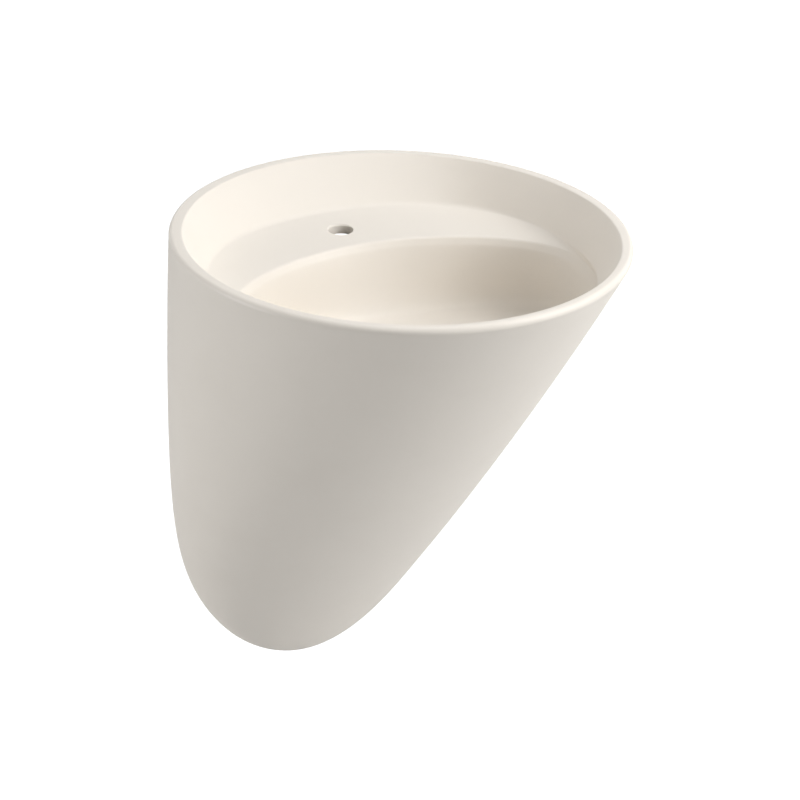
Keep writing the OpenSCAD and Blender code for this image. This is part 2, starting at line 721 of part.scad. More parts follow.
module trap_cup() {
    seal_z = bottle_foot - cup_seal_t;
    inside_d = bottle_d - 4 * bottle_wall;
    color(plastic) translate([0, waste_y, 0]) difference() {
        union() {
            translate([0, 0, seal_z - bottle_wall])
                cylinder(h = cup_top - seal_z + bottle_wall, d = cup_d);
            translate([0, 0, cup_foot]) cylinder(h = cup_h - cup_overlap, d = cup_body_d);
        }
        translate([0, 0, seal_z]) cylinder(h = cup_h, d = bottle_d + 2 * thread_gap);
        translate([0, 0, cup_foot + bottle_wall]) cylinder(h = cup_h, d = inside_d);
        for (i = [0:nut_ribs - 1]) rotate([0, 0, 360 / nut_ribs * i])
            translate([cup_d / 2 + rib_cut_r - nut_rib_depth, 0, seal_z - bottle_wall - cut])
                cylinder(h = cup_overlap + 2 * cut, r = rib_cut_r, $fn = 24);
    }
}

module cup_seal() {
    color(rubber) ring(bottle_foot - cup_seal_t, cup_seal_t,
        bottle_d, bottle_d - 2 * bottle_wall);
}

module outlet_nut() {
    color(plastic) translate([0, outlet_neck_y + cone_seal_h + lip_t, outlet_z]) rotate([90, 0, 0])
        grip_nut(collar_nut_h, collar_nut_d, neck_d, neck_bore_d);
}

module outlet_seal() {
    color(rubber) translate([0, outlet_neck_y, outlet_z]) rotate([-90, 0, 0]) cone_seal();
}

module outlet_pipe() {
    pipe_start = waste_y + bottle_d / 2;
    length = outlet_past_wall - pipe_start;
    color(plastic) translate([0, pipe_start, outlet_z]) rotate([-90, 0, 0]) difference() {
        union() {
            cylinder(h = length - outlet_end_l, d = pipe_d);
            cylinder(h = length, d = outlet_end_d);
        }
        translate([0, 0, -cut]) cylinder(h = length + 2 * cut, d = pipe_d - 2 * pipe_wall);
    }
}

module wall_rosette() {
    color(brass) translate([0, -rosette_t, outlet_z]) rotate([-90, 0, 0]) difference() {
        cylinder(h = rosette_t, d1 = rosette_d - 2 * rosette_slope, d2 = rosette_d);
        translate([0, 0, -cut]) cylinder(h = rosette_t + 2 * cut, d = neck_bore_d);
    }
}

basin_body();
wall_hanger();
hanger_liner();
waste_body();
flange_gasket();
ceramic_gasket();
slip_washer();
waste_locknut();
plunger_guide();
click_spring();
plunger();
plug_cap();
plug_seal();
inlet_nut();
inlet_seal();
dip_tube();
collar_nut();
collar_seal();
trap_bottle();
trap_cup();
cup_seal();
outlet_nut();
outlet_seal();
outlet_pipe();
wall_rosette();
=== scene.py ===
"""Looks of a wall hung washbasin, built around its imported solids.

The wall is the plane y = 0, the front faces -Y and the origin is the middle of the four
wall fixing holes. Shapes are worked out in millimetres and turned to metres in one place.
"""

import logging
import math
from collections.abc import Callable, Sequence
from dataclasses import dataclass, field
from enum import Enum

import bmesh
import bpy
import numpy as np
from mathutils import Matrix, Vector


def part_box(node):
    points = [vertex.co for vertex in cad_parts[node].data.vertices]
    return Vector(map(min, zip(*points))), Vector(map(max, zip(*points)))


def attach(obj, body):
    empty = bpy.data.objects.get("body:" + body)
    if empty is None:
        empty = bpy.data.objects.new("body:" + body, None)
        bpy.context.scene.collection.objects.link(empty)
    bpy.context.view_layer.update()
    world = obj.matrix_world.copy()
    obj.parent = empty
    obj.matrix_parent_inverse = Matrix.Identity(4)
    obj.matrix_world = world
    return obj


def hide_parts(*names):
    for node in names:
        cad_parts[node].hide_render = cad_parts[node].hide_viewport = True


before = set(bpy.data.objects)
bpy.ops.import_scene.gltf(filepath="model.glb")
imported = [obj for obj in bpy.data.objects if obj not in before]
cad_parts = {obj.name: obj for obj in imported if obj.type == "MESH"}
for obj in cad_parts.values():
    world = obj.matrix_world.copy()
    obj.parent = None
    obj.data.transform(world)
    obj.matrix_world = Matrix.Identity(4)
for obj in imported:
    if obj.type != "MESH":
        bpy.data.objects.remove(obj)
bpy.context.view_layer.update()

MM = 0.001
# Edges that turn more than this many degrees stay crisp.
SHARP_DEG = 32.0
# Points closer than the first and edges shorter than the second, in metres, are taken out.
MERGE_GAP, SHORT_EDGE = 2e-6, 1e-6
# From this cosine on a face counts as square to an axis.
SQUARE = 0.99999
# A rounding takes up at most this share of the stretch beside it.
BEND_LIMIT = 0.45
# Radii that differ by less than this many millimetres count as one.
SAME = 0.01
# How far a cutter reaches past the face that it cuts, and the play round a pushed in piece.
CUT, FIT_GAP = 1.0, 0.15

Point = tuple[float, float, float]
Ring = np.ndarray
RadiusRule = Callable[[float, float, float], float]

log = logging.getLogger("washbasin")


def linear(code: str) -> tuple[float, float, float, float]:
    """Turns an sRGB hex colour to linear light.

    Args:
        code: the colour as six hex digits.

    Returns:
        Red, green, blue and an alpha of 1.
    """
    parts = [int(code[i:i + 2], 16) / 255 for i in (0, 2, 4)]
    red, green, blue = (p / 12.92 if p <= 0.04045 else ((p + 0.055) / 1.055) ** 2.4 for p in parts)
    return red, green, blue, 1.0


def add_node(tree: bpy.types.NodeTree, kind: str, values: dict[str, object] | None = None,
             links: dict[str, bpy.types.NodeSocket] | None = None,
             **settings: object) -> bpy.types.Node:
    """Adds a shader node with its settings, socket values and links.

    Args:
        tree: the node tree that gets the node.
        kind: the node's type name.
        values: default values by input name.
        links: output sockets to join by input name.
        settings: properties of the node itself.

    Returns:
        The new node.
    """
    node = tree.nodes.new(kind)
    for key, value in settings.items():
        setattr(node, key, value)
    for key, value in (values or {}).items():
        node.inputs[key].default_value = value
    for key, socket in (links or {}).items():
        tree.links.new(socket, node.inputs[key])
    return node


@dataclass(frozen=True)
class Extent:
    """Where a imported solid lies, in millimetres."""

    low: Vector
    high: Vector

    @classmethod
    def of(cls, node: str) -> "Extent":
        """Reads a solid's box from the frame."""
        low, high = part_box(node)
        return cls(low / MM, high / MM)

    @property
    def foot(self) -> float:
        """Gives the lowest level."""
        return self.low.z

    @property
    def top(self) -> float:
        """Gives the highest level."""
        return self.high.z

    @property
    def front(self) -> float:
        """Gives the y nearest to the viewer."""
        return self.low.y

    @property
    def back(self) -> float:
        """Gives the y nearest to the wall, or furthest into it."""
        return self.high.y

    @property
    def radius(self) -> float:
        """Gives half of the width, as the solids are centred from left to right."""
        return self.high.x


RIM_Z = Extent.of("basin_body").top
WASTE_Y = (Extent.of("waste_body").front + Extent.of("waste_body").back) / 2
OUTLET_Z = (Extent.of("wall_rosette").foot + Extent.of("wall_rosette").top) / 2


class Region(Enum):
    """Finish of a stretch of the ceramic, by its place in the material list."""

    GLAZED = 0
    RAW = 1


class Axis(Enum):
    """Direction along which a turned piece runs."""

    UP = "up"
    INTO_WALL = "into wall"


@dataclass(frozen=True)
class Grain:
    """A fine pattern in a surface: feature size and how far it moves colour, gloss and relief."""

    size_mm: float
    tint: float = 0.0
    gloss: float = 0.0
    relief_mm: float = 0.0
    stretch: Point = (1.0, 1.0, 1.0)
    detail: float = 3.0
    rough: float = 0.55


@dataclass(frozen=True)
class Finish:
    """A surface finish: what the real material is, its colour and gloss, and its grain."""

    name: str
    colour: str
    roughness: float
    metallic: float = 0.0
    ior: float = 1.5
    diffuse_roughness: float = 0.0
    dark: str | None = None
    coarse: Grain = field(default_factory=lambda: Grain(60.0))
    fine: Grain = field(default_factory=lambda: Grain(1.0))

    def build(self) -> bpy.types.Material:
        """Makes the material.

        Returns:
            A material whose colour, gloss and relief vary with two noises of real size.
        """
        material = bpy.data.materials.new(self.name)
        material.use_nodes = True
        tree = material.node_tree
        shader = tree.nodes["Principled BSDF"]
        shader.inputs["Metallic"].default_value = self.metallic
        shader.inputs["Diffuse Roughness"].default_value = self.diffuse_roughness
        if not self.metallic:
            shader.inputs["IOR"].default_value = self.ior
        place = add_node(tree, "ShaderNodeTexCoord").outputs["Object"]
        broad = self._noise(tree, place, self.coarse)
        close = self._noise(tree, place, self.fine)
        both = add_node(tree, "ShaderNodeMath", {1: self.coarse.tint}, {0: broad},
                        operation="MULTIPLY").outputs[0]
        shade = add_node(tree, "ShaderNodeMath", {1: self.fine.tint}, {0: close, 2: both},
                         operation="MULTIPLY_ADD").outputs[0]
        tone = add_node(tree, "ShaderNodeMix",
                        {"A": linear(self.colour), "B": linear(self.dark or self.colour)},
                        {"Factor": shade}, data_type="RGBA")
        tree.links.new(tone.outputs["Result"], shader.inputs["Base Color"])
        rough = add_node(tree, "ShaderNodeMath", {1: self.coarse.gloss, 2: self.roughness},
                         {0: broad}, operation="MULTIPLY_ADD").outputs[0]
        rough = add_node(tree, "ShaderNodeMath", {1: self.fine.gloss}, {0: close, 2: rough},
                         operation="MULTIPLY_ADD").outputs[0]
        tree.links.new(rough, shader.inputs["Roughness"])
        relief = None
        for height, grain in ((broad, self.coarse), (close, self.fine)):
            if grain.relief_mm:
                links = {"Height": height} | ({"Normal": relief} if relief else {})
                relief = add_node(tree, "ShaderNodeBump",
                                  {"Strength": 1.0, "Distance": grain.relief_mm * MM},
                                  links).outputs["Normal"]
        if relief:
            tree.links.new(relief, shader.inputs["Normal"])
        return material

    def _noise(self, tree: bpy.types.NodeTree, place: bpy.types.NodeSocket,
               grain: Grain) -> bpy.types.NodeSocket:
        """Adds one noise of a real size.

        Args:
            tree: the material's node tree.
            place: the object coordinates in metres.
            grain: the pattern that the noise draws.

        Returns:
            The noise's value, about -0.5 to 0.5.
        """
        spread = add_node(tree, "ShaderNodeMapping", {"Scale": grain.stretch}, {"Vector": place})
        noise = add_node(tree, "ShaderNodeTexNoise",
                         {"Scale": 1 / (grain.size_mm * MM), "Detail": grain.detail,
                          "Roughness": grain.rough}, {"Vector": spread.outputs[0]})
        return add_node(tree, "ShaderNodeMath", {1: 0.5}, {0: noise.outputs["Fac"]},
                        operation="SUBTRACT").outputs[0]


# Fine fire clay with a satin matt glaze, sprayed and fired: an even warm white with a soft,
# wide sheen, faint clouding from the glaze depth and an almost flat orange peel.
MATT_GLAZE = Finish("matt_glazed_fire_clay", "F1EBE2", 0.47, ior=1.5, diffuse_roughness=0.3,
                    dark="E7E0D5", coarse=Grain(90.0, tint=0.5, gloss=0.05),
                    fine=Grain(2.2, tint=0.12, gloss=0.03, relief_mm=0.012))
# The same clay where the glaze stops: dry, open grained and a little darker.
RAW_CLAY = Finish("bisque_fire_clay", "DDD2C2", 0.85, ior=1.45, diffuse_roughness=0.8,
                  dark="BFB09B", coarse=Grain(25.0, tint=0.7),
                  fine=Grain(0.9, tint=0.6, relief_mm=0.08, detail=6.0))
# Cast brass under polished chromium plate: mirror bright with hair fine wiping marks.
CHROME = Finish("chromed_brass", "D9DADC", 0.07, metallic=1.0, dark="C4C6CA",
                coarse=Grain(18.0, tint=0.25, gloss=0.05),
                fine=Grain(0.7, gloss=0.04, relief_mm=0.0008, stretch=(1.0, 1.0, 6.0)))
# Turned brass left bare: warm and bright with tool rings across its axis.
TURNED_BRASS = Finish("turned_brass", "C9A45C", 0.28, metallic=1.0, dark="8F6C33",
                      coarse=Grain(14.0, tint=0.5, gloss=0.12),
                      fine=Grain(0.5, tint=0.3, gloss=0.1, relief_mm=0.004,
                                 stretch=(0.15, 0.15, 3.0)))
# Pressed steel with bright zinc plate: grey, cloudy in patches of a few millimetres.
ZINC_STEEL = Finish("zinc_plated_steel", "A9ADB1", 0.36, metallic=1.0, dark="7F858B",
                    coarse=Grain(7.0, tint=0.8, gloss=0.16),
                    fine=Grain(1.1, tint=0.3, gloss=0.08, relief_mm=0.004))
# Hard drawn spring wire: dark grey with drawing marks.
SPRING_WIRE = Finish("drawn_spring_steel", "83868B", 0.34, metallic=1.0, dark="4F5257",
                     fine=Grain(0.4, tint=0.5, gloss=0.1))
# Moulded EPDM: nearly black, dull, with the dust of the mould release.
EPDM = Finish("moulded_epdm", "1D1D1F", 0.62, ior=1.52, dark="323234",
              coarse=Grain(12.0, tint=0.4), fine=Grain(0.5, tint=0.5, gloss=0.1, relief_mm=0.01))
# Moulded glass filled nylon: creamy and dull, with fine fibre flecks.
NYLON = Finish("filled_nylon", "D8D2C2", 0.5, ior=1.53, dark="B9B19E",
               coarse=Grain(10.0, tint=0.4), fine=Grain(0.6, tint=0.6, gloss=0.1, relief_mm=0.01))
# Moulded polypropylene: white, waxy, with a fine spark eroded grain from the tool.
POLYPROPYLENE = Finish("moulded_polypropylene", "E9E9E6", 0.36, ior=1.49, dark="D3D4D0",
                       coarse=Grain(16.0, tint=0.4, gloss=0.06),
                       fine=Grain(0.7, tint=0.1, gloss=0.06, relief_mm=0.012))
# Extruded pipe of the same plastic: smoother, with faint lines along its length.
PIPE_PLASTIC = Finish("extruded_polypropylene", "EDEDEA", 0.24, ior=1.49, dark="DADBD7",
                      coarse=Grain(20.0, tint=0.3, gloss=0.06),
                      fine=Grain(0.8, tint=0.15, gloss=0.05, relief_mm=0.003))


def make_object(name: str, points: np.ndarray, faces: Sequence[Sequence[int]],
                materials: Sequence[bpy.types.Material], indices: Sequence[int] | None = None,
                sharp_deg: float = SHARP_DEG) -> bpy.types.Object:
    """Makes a mesh object from points in millimetres.

    Args:
        name: the piece's name.
        points: one row of x, y, z per point.
        faces: point numbers of each face.
        materials: the material slots.
        indices: the slot of each face, all 0 if left out.
        sharp_deg: edges that turn more than this stay crisp.

    Returns:
        The linked object, at the origin.
    """
    mesh = bpy.data.meshes.new(name)
    mesh.from_pydata((np.asarray(points) * MM).tolist(), [], [list(f) for f in faces])
    for material in materials:
        mesh.materials.append(material)
    if indices is not None:
        mesh.polygons.foreach_set("material_index", list(indices))
    piece = bpy.data.objects.new(name, mesh)
    bpy.context.scene.collection.objects.link(piece)
    shade(piece, sharp_deg)
    return piece


def shade(piece: bpy.types.Object, sharp_deg: float = SHARP_DEG, square: bool = False) -> None:
    """Turns the faces outwards, shades them smooth and keeps strong edges crisp.

    Args:
        piece: the object to shade.
        sharp_deg: edges that turn more than this stay crisp.
        square: whether the faces square to an axis are flat plates.
    """
    work = bmesh.new()
    work.from_mesh(piece.data)
    bmesh.ops.remove_doubles(work, verts=work.verts, dist=MERGE_GAP)
    bmesh.ops.dissolve_degenerate(work, edges=work.edges, dist=SHORT_EDGE)
    bmesh.ops.recalc_face_normals(work, faces=work.faces)
    for face in work.faces:
        face.smooth = not (square and max(map(abs, face.normal)) > SQUARE)
    for edge in work.edges:
        paired = len(edge.link_faces) == 2
        edge.smooth = paired and edge.calc_face_angle() < math.radians(sharp_deg)
    work.to_mesh(piece.data)
    work.free()


def carve(piece: bpy.types.Object, tools: Sequence[bpy.types.Object], operation: str) -> None:
    """Joins or cuts tools into a piece, then removes them.

    Args:
        piece: the object that changes.
        tools: the objects that are used up.
        operation: DIFFERENCE, UNION or INTERSECT.
    """
    for tool in tools:
        step = piece.modifiers.new(operation.lower(), "BOOLEAN")
        step.operation, step.object, step.solver = operation, tool, "EXACT"
        step.material_mode = "INDEX"
    graph = bpy.context.evaluated_depsgraph_get()
    result = bpy.data.meshes.new_from_object(piece.evaluated_get(graph))
    piece.modifiers.clear()
    old, piece.data = piece.data, result
    result.name = piece.name
    bpy.data.meshes.remove(old)
    for tool in tools:
        bpy.data.objects.remove(tool)


def bend(start: np.ndarray, corner: np.ndarray, end: np.ndarray, before: float, after: float,
         steps: int) -> list[np.ndarray]:
    """Rounds a corner between two straight stretches.

    Args:
        start: the point before the corner, or one row of them per place around.
        corner: the corner.
        end: the point after it.
        before: how far the rounding reaches along the first stretch.
        after: how far it reaches along the second.
        steps: how many steps it takes.

    Returns:
        The points along the rounding, from the first stretch to the second.
    """
    def toward(other: np.ndarray, length: float) -> np.ndarray:
        """Goes from the corner towards another point.

        Args:
            other: the other point.
            length: how far to go, within the limit for the stretch.

        Returns:
            The point that is reached.
        """
        gap = other - corner
        reach = np.linalg.norm(gap, axis=-1, keepdims=True)
        return corner + gap * np.minimum(length, BEND_LIMIT * reach) / reach

    first, last = toward(start, before), toward(end, after)
    return [first * (1 - u) ** 2 + corner * 2 * u * (1 - u) + last * u * u
            for u in np.linspace(0, 1, steps + 1)]


def stacked(rings: Sequence[Ring]) -> tuple[np.ndarray, list[tuple[int, ...]]]:
    """Skins a stack of rings that have the same number of points, with a cap at each end.

    Args:
        rings: arrays of points.

    Returns:
        All points, and the faces.
    """
    count = len(rings[0])
    faces: list[tuple[int, ...]] = []
    for i in range(len(rings) - 1):
        low, high = i * count, (i + 1) * count
        for j in range(count):
            k = (j + 1) % count
            faces.append((low + j, low + k, high + k, high + j))
    faces.append(tuple(range(count - 1, -1, -1)))
    faces.append(tuple((len(rings) - 1) * count + j for j in range(count)))
    return np.vstack(rings), faces


@dataclass
class BasinBody:
    """The fire clay body: slanted skin, rounded rim, crescent deck, bowl and hollow back."""

    glaze: bpy.types.Material
    raw: bpy.types.Material
    # The outside, with a rim that is thicker at the wall than at the front.
    width: float = 480.0
    depth: float = 536.0
    height: float = 645.0
    rim_width: float = 14.5
    rim_shift: float = 3.0
    lip_r: float = 5.0
    inner_lip_r: float = 2.5
    # How the front and the sides run in over the height, and where the sections are widest.
    front_taper: float = 0.911
    front_power: float = 2.6
    front_root: float = 3.08
    side_taper: float = 0.30
    side_bulge: float = 0.08
    side_power: float = 7.0
    side_root: float = 1.9
    lean_share: float = 0.82
    foot_smooth: float = 0.12
    foot_share: float = 0.998
    middle_limit: float = 0.98
    skin_start: float = 0.016
    # The tap deck: drops are measured down from the rim, and a power says how square an oval is.
    deck_drop: float = 45.0
    deck_fall: float = 7.0
    deck_half: float = 203.0
    deck_back_y: float = -73.5
    corner_power: float = 2.2
    inner_power: float = 2.1
    # The deck's front edge and the slanted shoulder under it.
    edge_y: float = -164.0
    edge_half: float = 200.0
    edge_power: float = 1.9
    edge_shift: float = 34.0
    deck_cove: float = 5.0
    edge_round: float = 3.0
    shoulder_depth: float = 12.0
    shoulder_width: float = 6.0
    shoulder_round: float = 5.4
    edge_sweep: float = 28.0
    # The bowl's floor and the recess for the waste.
    floor_drop: float = 130.0
    floor_half: float = 184.0
    floor_y: float = WASTE_Y + 58.0
    floor_power: float = 2.3
    floor_shift: float = 18.0
    floor_round: float = 30.0
    front_wall: float = 16.0
    recess_drop: float = 139.5
    recess_depth: float = 3.0
    recess_r: float = 34.5
    recess_bevel: float = 1.5
    recess_round: float = 1.2
    # Wall thicknesses of the hollow body, and the bowl's underside.
    wall: float = 13.0
    edge_wall: float = 10.0
    slab: float = 12.0
    foot_solid: float = 45.0
    floor_wall: float = 14.0
    under_slack: float = 2.0
    under_reach: float = 20.0
    under_side: float = 3.0
    under_draw: float = 18.0
    under_corner: Point = (14.0, 10.0, 4.0)
    under_shift: float = 12.0
    # The tap hole, its rounded edge and the flat seat for the nut under the deck.
    tap_y: float = -122.0
    tap_r: float = 14.0
    tap_edge: float = 0.8
    tap_edge_deg: float = 80.0
    tap_flare: float = 3.0
    tap_clear: float = 4.0
    tap_seat_r: float = 20.0
    tap_seat_depth: float = 2.0
    # The waste hole, cut from below to above its seat.
    waste_r: float = 23.0
    waste_cut: tuple[float, float] = (-40.0, 10.0)
    # The rib that hangs on the steel hook.
    rib_half: float = 32.0
    rib_front: float = -20.0
    rib_back: float = -7.0
    rib_drop: float = 105.0
    rib_round: float = 2.0
    # What counts as a raw face at the wall, and how fine the mesh is.
    wall_play: float = 0.05
    wall_cosine: float = 0.9
    sharp_deg: float = 40.0
    slope_step: float = 0.006
    skin_levels: int = 90
    hollow_levels: int = 44
    lip_steps: int = 12
    around: int = 241

    def __post_init__(self) -> None:
        """Works out the sizes that follow from the others."""
        self.skin_height = (self.height - self.lip_r) / self.foot_share
        slope = math.atan(self.front_taper * self.depth / self.skin_height)
        self.skin_depth = self.depth + self.lip_r * (1 / math.cos(slope) - 1)
        self.front_slope = slope
        fall = self.deck_fall / (self.deck_back_y - self.edge_y)
        self.tap_drop = self.deck_drop + fall * (self.deck_back_y - self.tap_y)
        first = 90 - 180 / self.around
        self.turns = np.radians(first - 360 / self.around * np.arange(self.around))

    def half(self, t: float) -> float:
        """Gives the half width at share t of the height."""
        base = max(1 - t ** self.side_power, 0) ** (1 / self.side_root)
        return self.width / 2 * (1 - self.side_taper * t - self.side_bulge * t * t) * base

    def front(self, t: float) -> float:
        """Gives the front's y at share t of the height."""
        base = max(1 - t ** self.front_power, 0) ** (1 / self.front_root)
        return -self.skin_depth * (1 - self.front_taper * t) * base

    def middle(self, t: float) -> float:
        """Gives the y of the widest line.

        Args:
            t: share of the height, from 0 at the rim to 1 at the foot.

        Returns:
            The y, half way to the front at the rim and at the wall near the foot.
        """
        u, e = 1 - t / self.lean_share, self.foot_smooth
        lean = (u + math.hypot(u, e)) / (1 + math.hypot(1, e))
        return max(-self.skin_depth / 2 * lean, self.middle_limit * self.front(t))

    def section(self, half: float, front: float, middle: float, z: float, wall: float) -> Ring:
        """Makes one level of the skin, an ellipse cut off by the wall.

        Args:
            half: half width.
            front: y of the front.
            middle: y of the widest line.
            z: level.
            wall: y at which it is cut off.

        Returns:
            The ring's points, whose first and last lie at the wall.
        """
        reach = middle - front
        first = math.asin(min(1.0, (wall - middle) / reach))
        first = min(math.pi / 2 - math.pi / self.around, first)
        a = np.linspace(first, -math.pi - first, self.around)
        return np.stack([half * np.cos(a), middle + reach * np.sin(a), np.full(len(a), z)], 1)

    def skin_level(self, t: float) -> float:
        """Gives the z at share t of the height."""
        return RIM_Z - self.lip_r - self.skin_height * t

    def skin_rings(self) -> list[Ring]:
        """Makes the outside from the foot up to the rim.

        Returns:
            The rings, closer together towards the foot.
        """
        turns = np.linspace(math.pi / 2, 0, self.skin_levels)
        shares = self.skin_start + (self.foot_share - self.skin_start) * np.sin(turns)
        return [self.section(self.half(t), self.front(t), self.middle(t), self.skin_level(t), 0.0)
                for t in shares]

    def oval(self, half: float, back: float, front: float, middle: float,
             power_back: float, power_front: float, z: float) -> Ring:
        """Makes an oval with its own reach to the back and to the front of its widest line.

        Args:
            half: half width.
            back: y of the back.
            front: y of the front.
            middle: y of the widest line.
            power_back: how square the back half is, 2 for an ellipse.
            power_front: how square the front half is.
            z: level.

        Returns:
            The ring's points.
        """
        cos, sin = np.cos(self.turns), np.sin(self.turns)
        power = 2 / np.where(sin > 0, power_back, power_front)
        reach = np.where(sin > 0, back - middle, middle - front)
        x = half * np.sign(cos) * np.abs(cos) ** power
        y = middle + reach * np.sign(sin) * np.abs(sin) ** power
        return np.stack([x, y, np.full(len(x), z)], 1)

    def inner_front(self, drop: float) -> float:
        """Gives the y of the inside of the front wall at a drop below the rim."""
        share = (drop - self.lip_r) / self.skin_height
        return self.front(share) + self.front_wall / math.cos(self.front_slope)

    def lip(self) -> tuple[list[Ring], Ring]:
        """Makes the rounded rim.

        Returns:
            Its rings from outside to inside, and the last of them.
        """
        half, middle = self.half(0), self.middle(0)
        reach = middle - self.front(0)
        cos, sin = np.cos(self.turns), np.sin(self.turns)
        normal = np.stack([cos / half, sin / reach], 1)
        normal /= np.linalg.norm(normal, axis=1, keepdims=True)
        dt = self.slope_step
        spread = [np.sqrt((self.half(t) * normal[:, 0]) ** 2
                          + ((self.middle(t) - self.front(t)) * normal[:, 1]) ** 2)
                  + self.middle(t) * normal[:, 1] for t in (0.0, dt)]
        outer = np.arctan(np.maximum(spread[0] - spread[1], 0) / (dt * self.skin_height))
        base = np.stack([half * cos, middle + reach * sin], 1)
        core = base - normal * (self.lip_r / np.cos(outer))[:, None]
        width = self.rim_width + self.rim_shift * normal[:, 1:]
        inner_core = core - normal * (width - self.lip_r - self.inner_lip_r)
        corner = self.deck_corner()
        d = ((inner_core - corner[:, :2]) * normal).sum(1)
        h = RIM_Z - self.inner_lip_r - corner[:, 2]
        inner = np.arccos(self.inner_lip_r / np.hypot(d, h)) - np.arctan2(h, d)
        top = math.pi / 2

        def arc(middle: np.ndarray, radius: float, start: np.ndarray,
                end: np.ndarray) -> list[Ring]:
            """Sweeps a round edge along the rim.

            Args:
                middle: x and y of the middle line of the edge.
                radius: radius of the edge.
                start: angle at which the edge starts, at each place around.
                end: angle at which it ends.

            Returns:
                The rings of the edge.
            """
            angles = [start + (end - start) * u for u in np.linspace(0, 1, self.lip_steps + 1)]
            return [np.column_stack([middle + normal * (radius * np.cos(w))[:, None],
                                     RIM_Z - radius + radius * np.sin(w)]) for w in angles]

        rings = arc(core, self.lip_r, -outer, np.full(len(outer), top))
        rings += arc(inner_core, self.inner_lip_r, np.full(len(inner), top), math.pi - inner)
        return rings, rings[-1]

    def deck_corner(self) -> Ring:
        """Makes the corner between the inner wall and the deck."""
        return self.oval(self.deck_half, self.deck_back_y, self.inner_front(self.deck_drop),
                         -self.depth / 2, self.corner_power, self.inner_power,
                         RIM_Z - self.deck_drop)

    def deck_edge(self) -> Ring:
        """Makes the edge between the deck and the bowl."""
        drop = self.deck_drop + self.deck_fall
        return self.oval(self.edge_half, self.edge_y, self.inner_front(drop),
                         -self.depth / 2 - self.edge_shift, self.edge_power, self.inner_power,
                         RIM_Z - drop)

    def shoulder(self) -> Ring:
        """Makes the foot of the slanted shoulder under the deck's edge.

        Returns:
            The ring, lower and further in than the edge.
        """
        drop, width = self.deck_drop + self.deck_fall + self.shoulder_depth, self.shoulder_width
        return self.oval(self.edge_half - width, self.edge_y - width, self.inner_front(drop),
                         -self.depth / 2 - self.edge_shift, self.edge_power, self.inner_power,
                         RIM_Z - drop)

    def floor_corner(self) -> Ring:
        """Makes the corner between the bowl's walls and its floor."""
        return self.oval(self.floor_half, self.floor_y, self.inner_front(self.floor_drop),
                         -self.depth / 2 - self.floor_shift, self.floor_power,
                         self.floor_power, RIM_Z - self.floor_drop)

    def circle(self, radius: float, drop: float) -> Ring:
        """Makes a circle round the waste."""
        x, y = radius * np.cos(self.turns), WASTE_Y + radius * np.sin(self.turns)
        return np.stack([x, y, np.full(len(x), RIM_Z - drop)], 1)

    def inside_rings(self) -> list[Ring]:
        """Makes the rim, the deck, the bowl and the recess for the waste.

        Returns:
            The rings from the outer edge of the rim to the seat of the waste.
        """
        lip, last = self.lip()
        corner, edge, floor = self.deck_corner(), self.deck_edge(), self.floor_corner()
        shoulder = self.shoulder()
        brink = self.circle(self.recess_r + self.recess_bevel, self.recess_drop)
        seat = self.circle(self.recess_r, self.recess_drop + self.recess_depth)
        cove = bend(last, corner, edge, self.deck_cove, self.deck_cove, 12)
        nose = bend(corner, edge, shoulder, self.edge_round, self.edge_round, 10)
        side = bend(edge, shoulder, floor, self.shoulder_round, self.edge_sweep, 16)
        dish = bend(shoulder, floor, brink, self.floor_round, self.floor_round, 20)
        drop = bend(dish[-1], brink, seat, self.recess_round, self.recess_round, 5)
        rings = lip[:]
        # Each rounding comes with the number of steps on the straight run before it.
        for stretch, between in ((cove, 14), (nose, 10), (side, 3), (dish, 8), (drop, 10)):
            start = rings[-1]
            rings += [start + (stretch[0] - start) * u for u in np.linspace(0, 1, between + 1)[1:-1]]
            rings += stretch
        return rings + [seat]

    def hollow(self) -> bpy.types.Object:
        """Makes the form of the hollow, less the bowl's underside and the hanging rib.

        Returns:
            The form that is cut out of the body.
        """
        low = (self.tap_drop + self.slab - self.lip_r) / self.skin_height
        high = 1 - self.foot_solid / self.skin_height
        inset = self.wall / math.cos(self.front_slope)
        shift = (inset - self.edge_wall) / 2
        rings = [self.section(self.half(t) - self.wall, self.front(t) + inset,
                              self.middle(t) + shift, self.skin_level(t), self.wall)
                 for t in np.linspace(high, low, self.hollow_levels)]
        space = self.tool("hollow", rings)
        back, slack = self.floor_wall + self.under_slack, self.under_slack
        half = self.floor_half - self.under_draw
        foot = self.recess_drop + self.recess_depth + self.floor_wall
        side, reach, rise = self.under_corner
        levels = ((self.deck_half + self.under_reach, self.edge_y + back, self.deck_drop + slack),
                  (self.floor_half + self.floor_wall + self.under_side, self.floor_y + back,
                   self.floor_drop + slack),
                  (half + side, self.floor_y + reach, foot - rise),
                  (half, self.floor_y, foot))
        under = self.tool("bowl_under", [
            self.oval(width, rear, -self.depth, -self.depth / 2 - self.under_shift,
                      self.floor_power, self.floor_power, RIM_Z - drop)
            for width, rear, drop in reversed(levels)])
        rib = block("rib", (-self.rib_half, self.rib_front, RIM_Z - self.rib_drop),
                    (self.rib_half, self.rib_back, RIM_Z - self.tap_drop - self.slab + CUT),
                    self.rib_round, [self.glaze, self.raw], Region.RAW.value)
        carve(space, [under, rib], "DIFFERENCE")
        return space

    def tool(self, name: str, rings: Sequence[Ring]) -> bpy.types.Object:
        """Makes a form whose cut leaves raw clay."""
        points, faces = stacked(rings)
        return make_object(name, points, faces, [self.glaze, self.raw],
                           [Region.RAW.value] * len(faces))

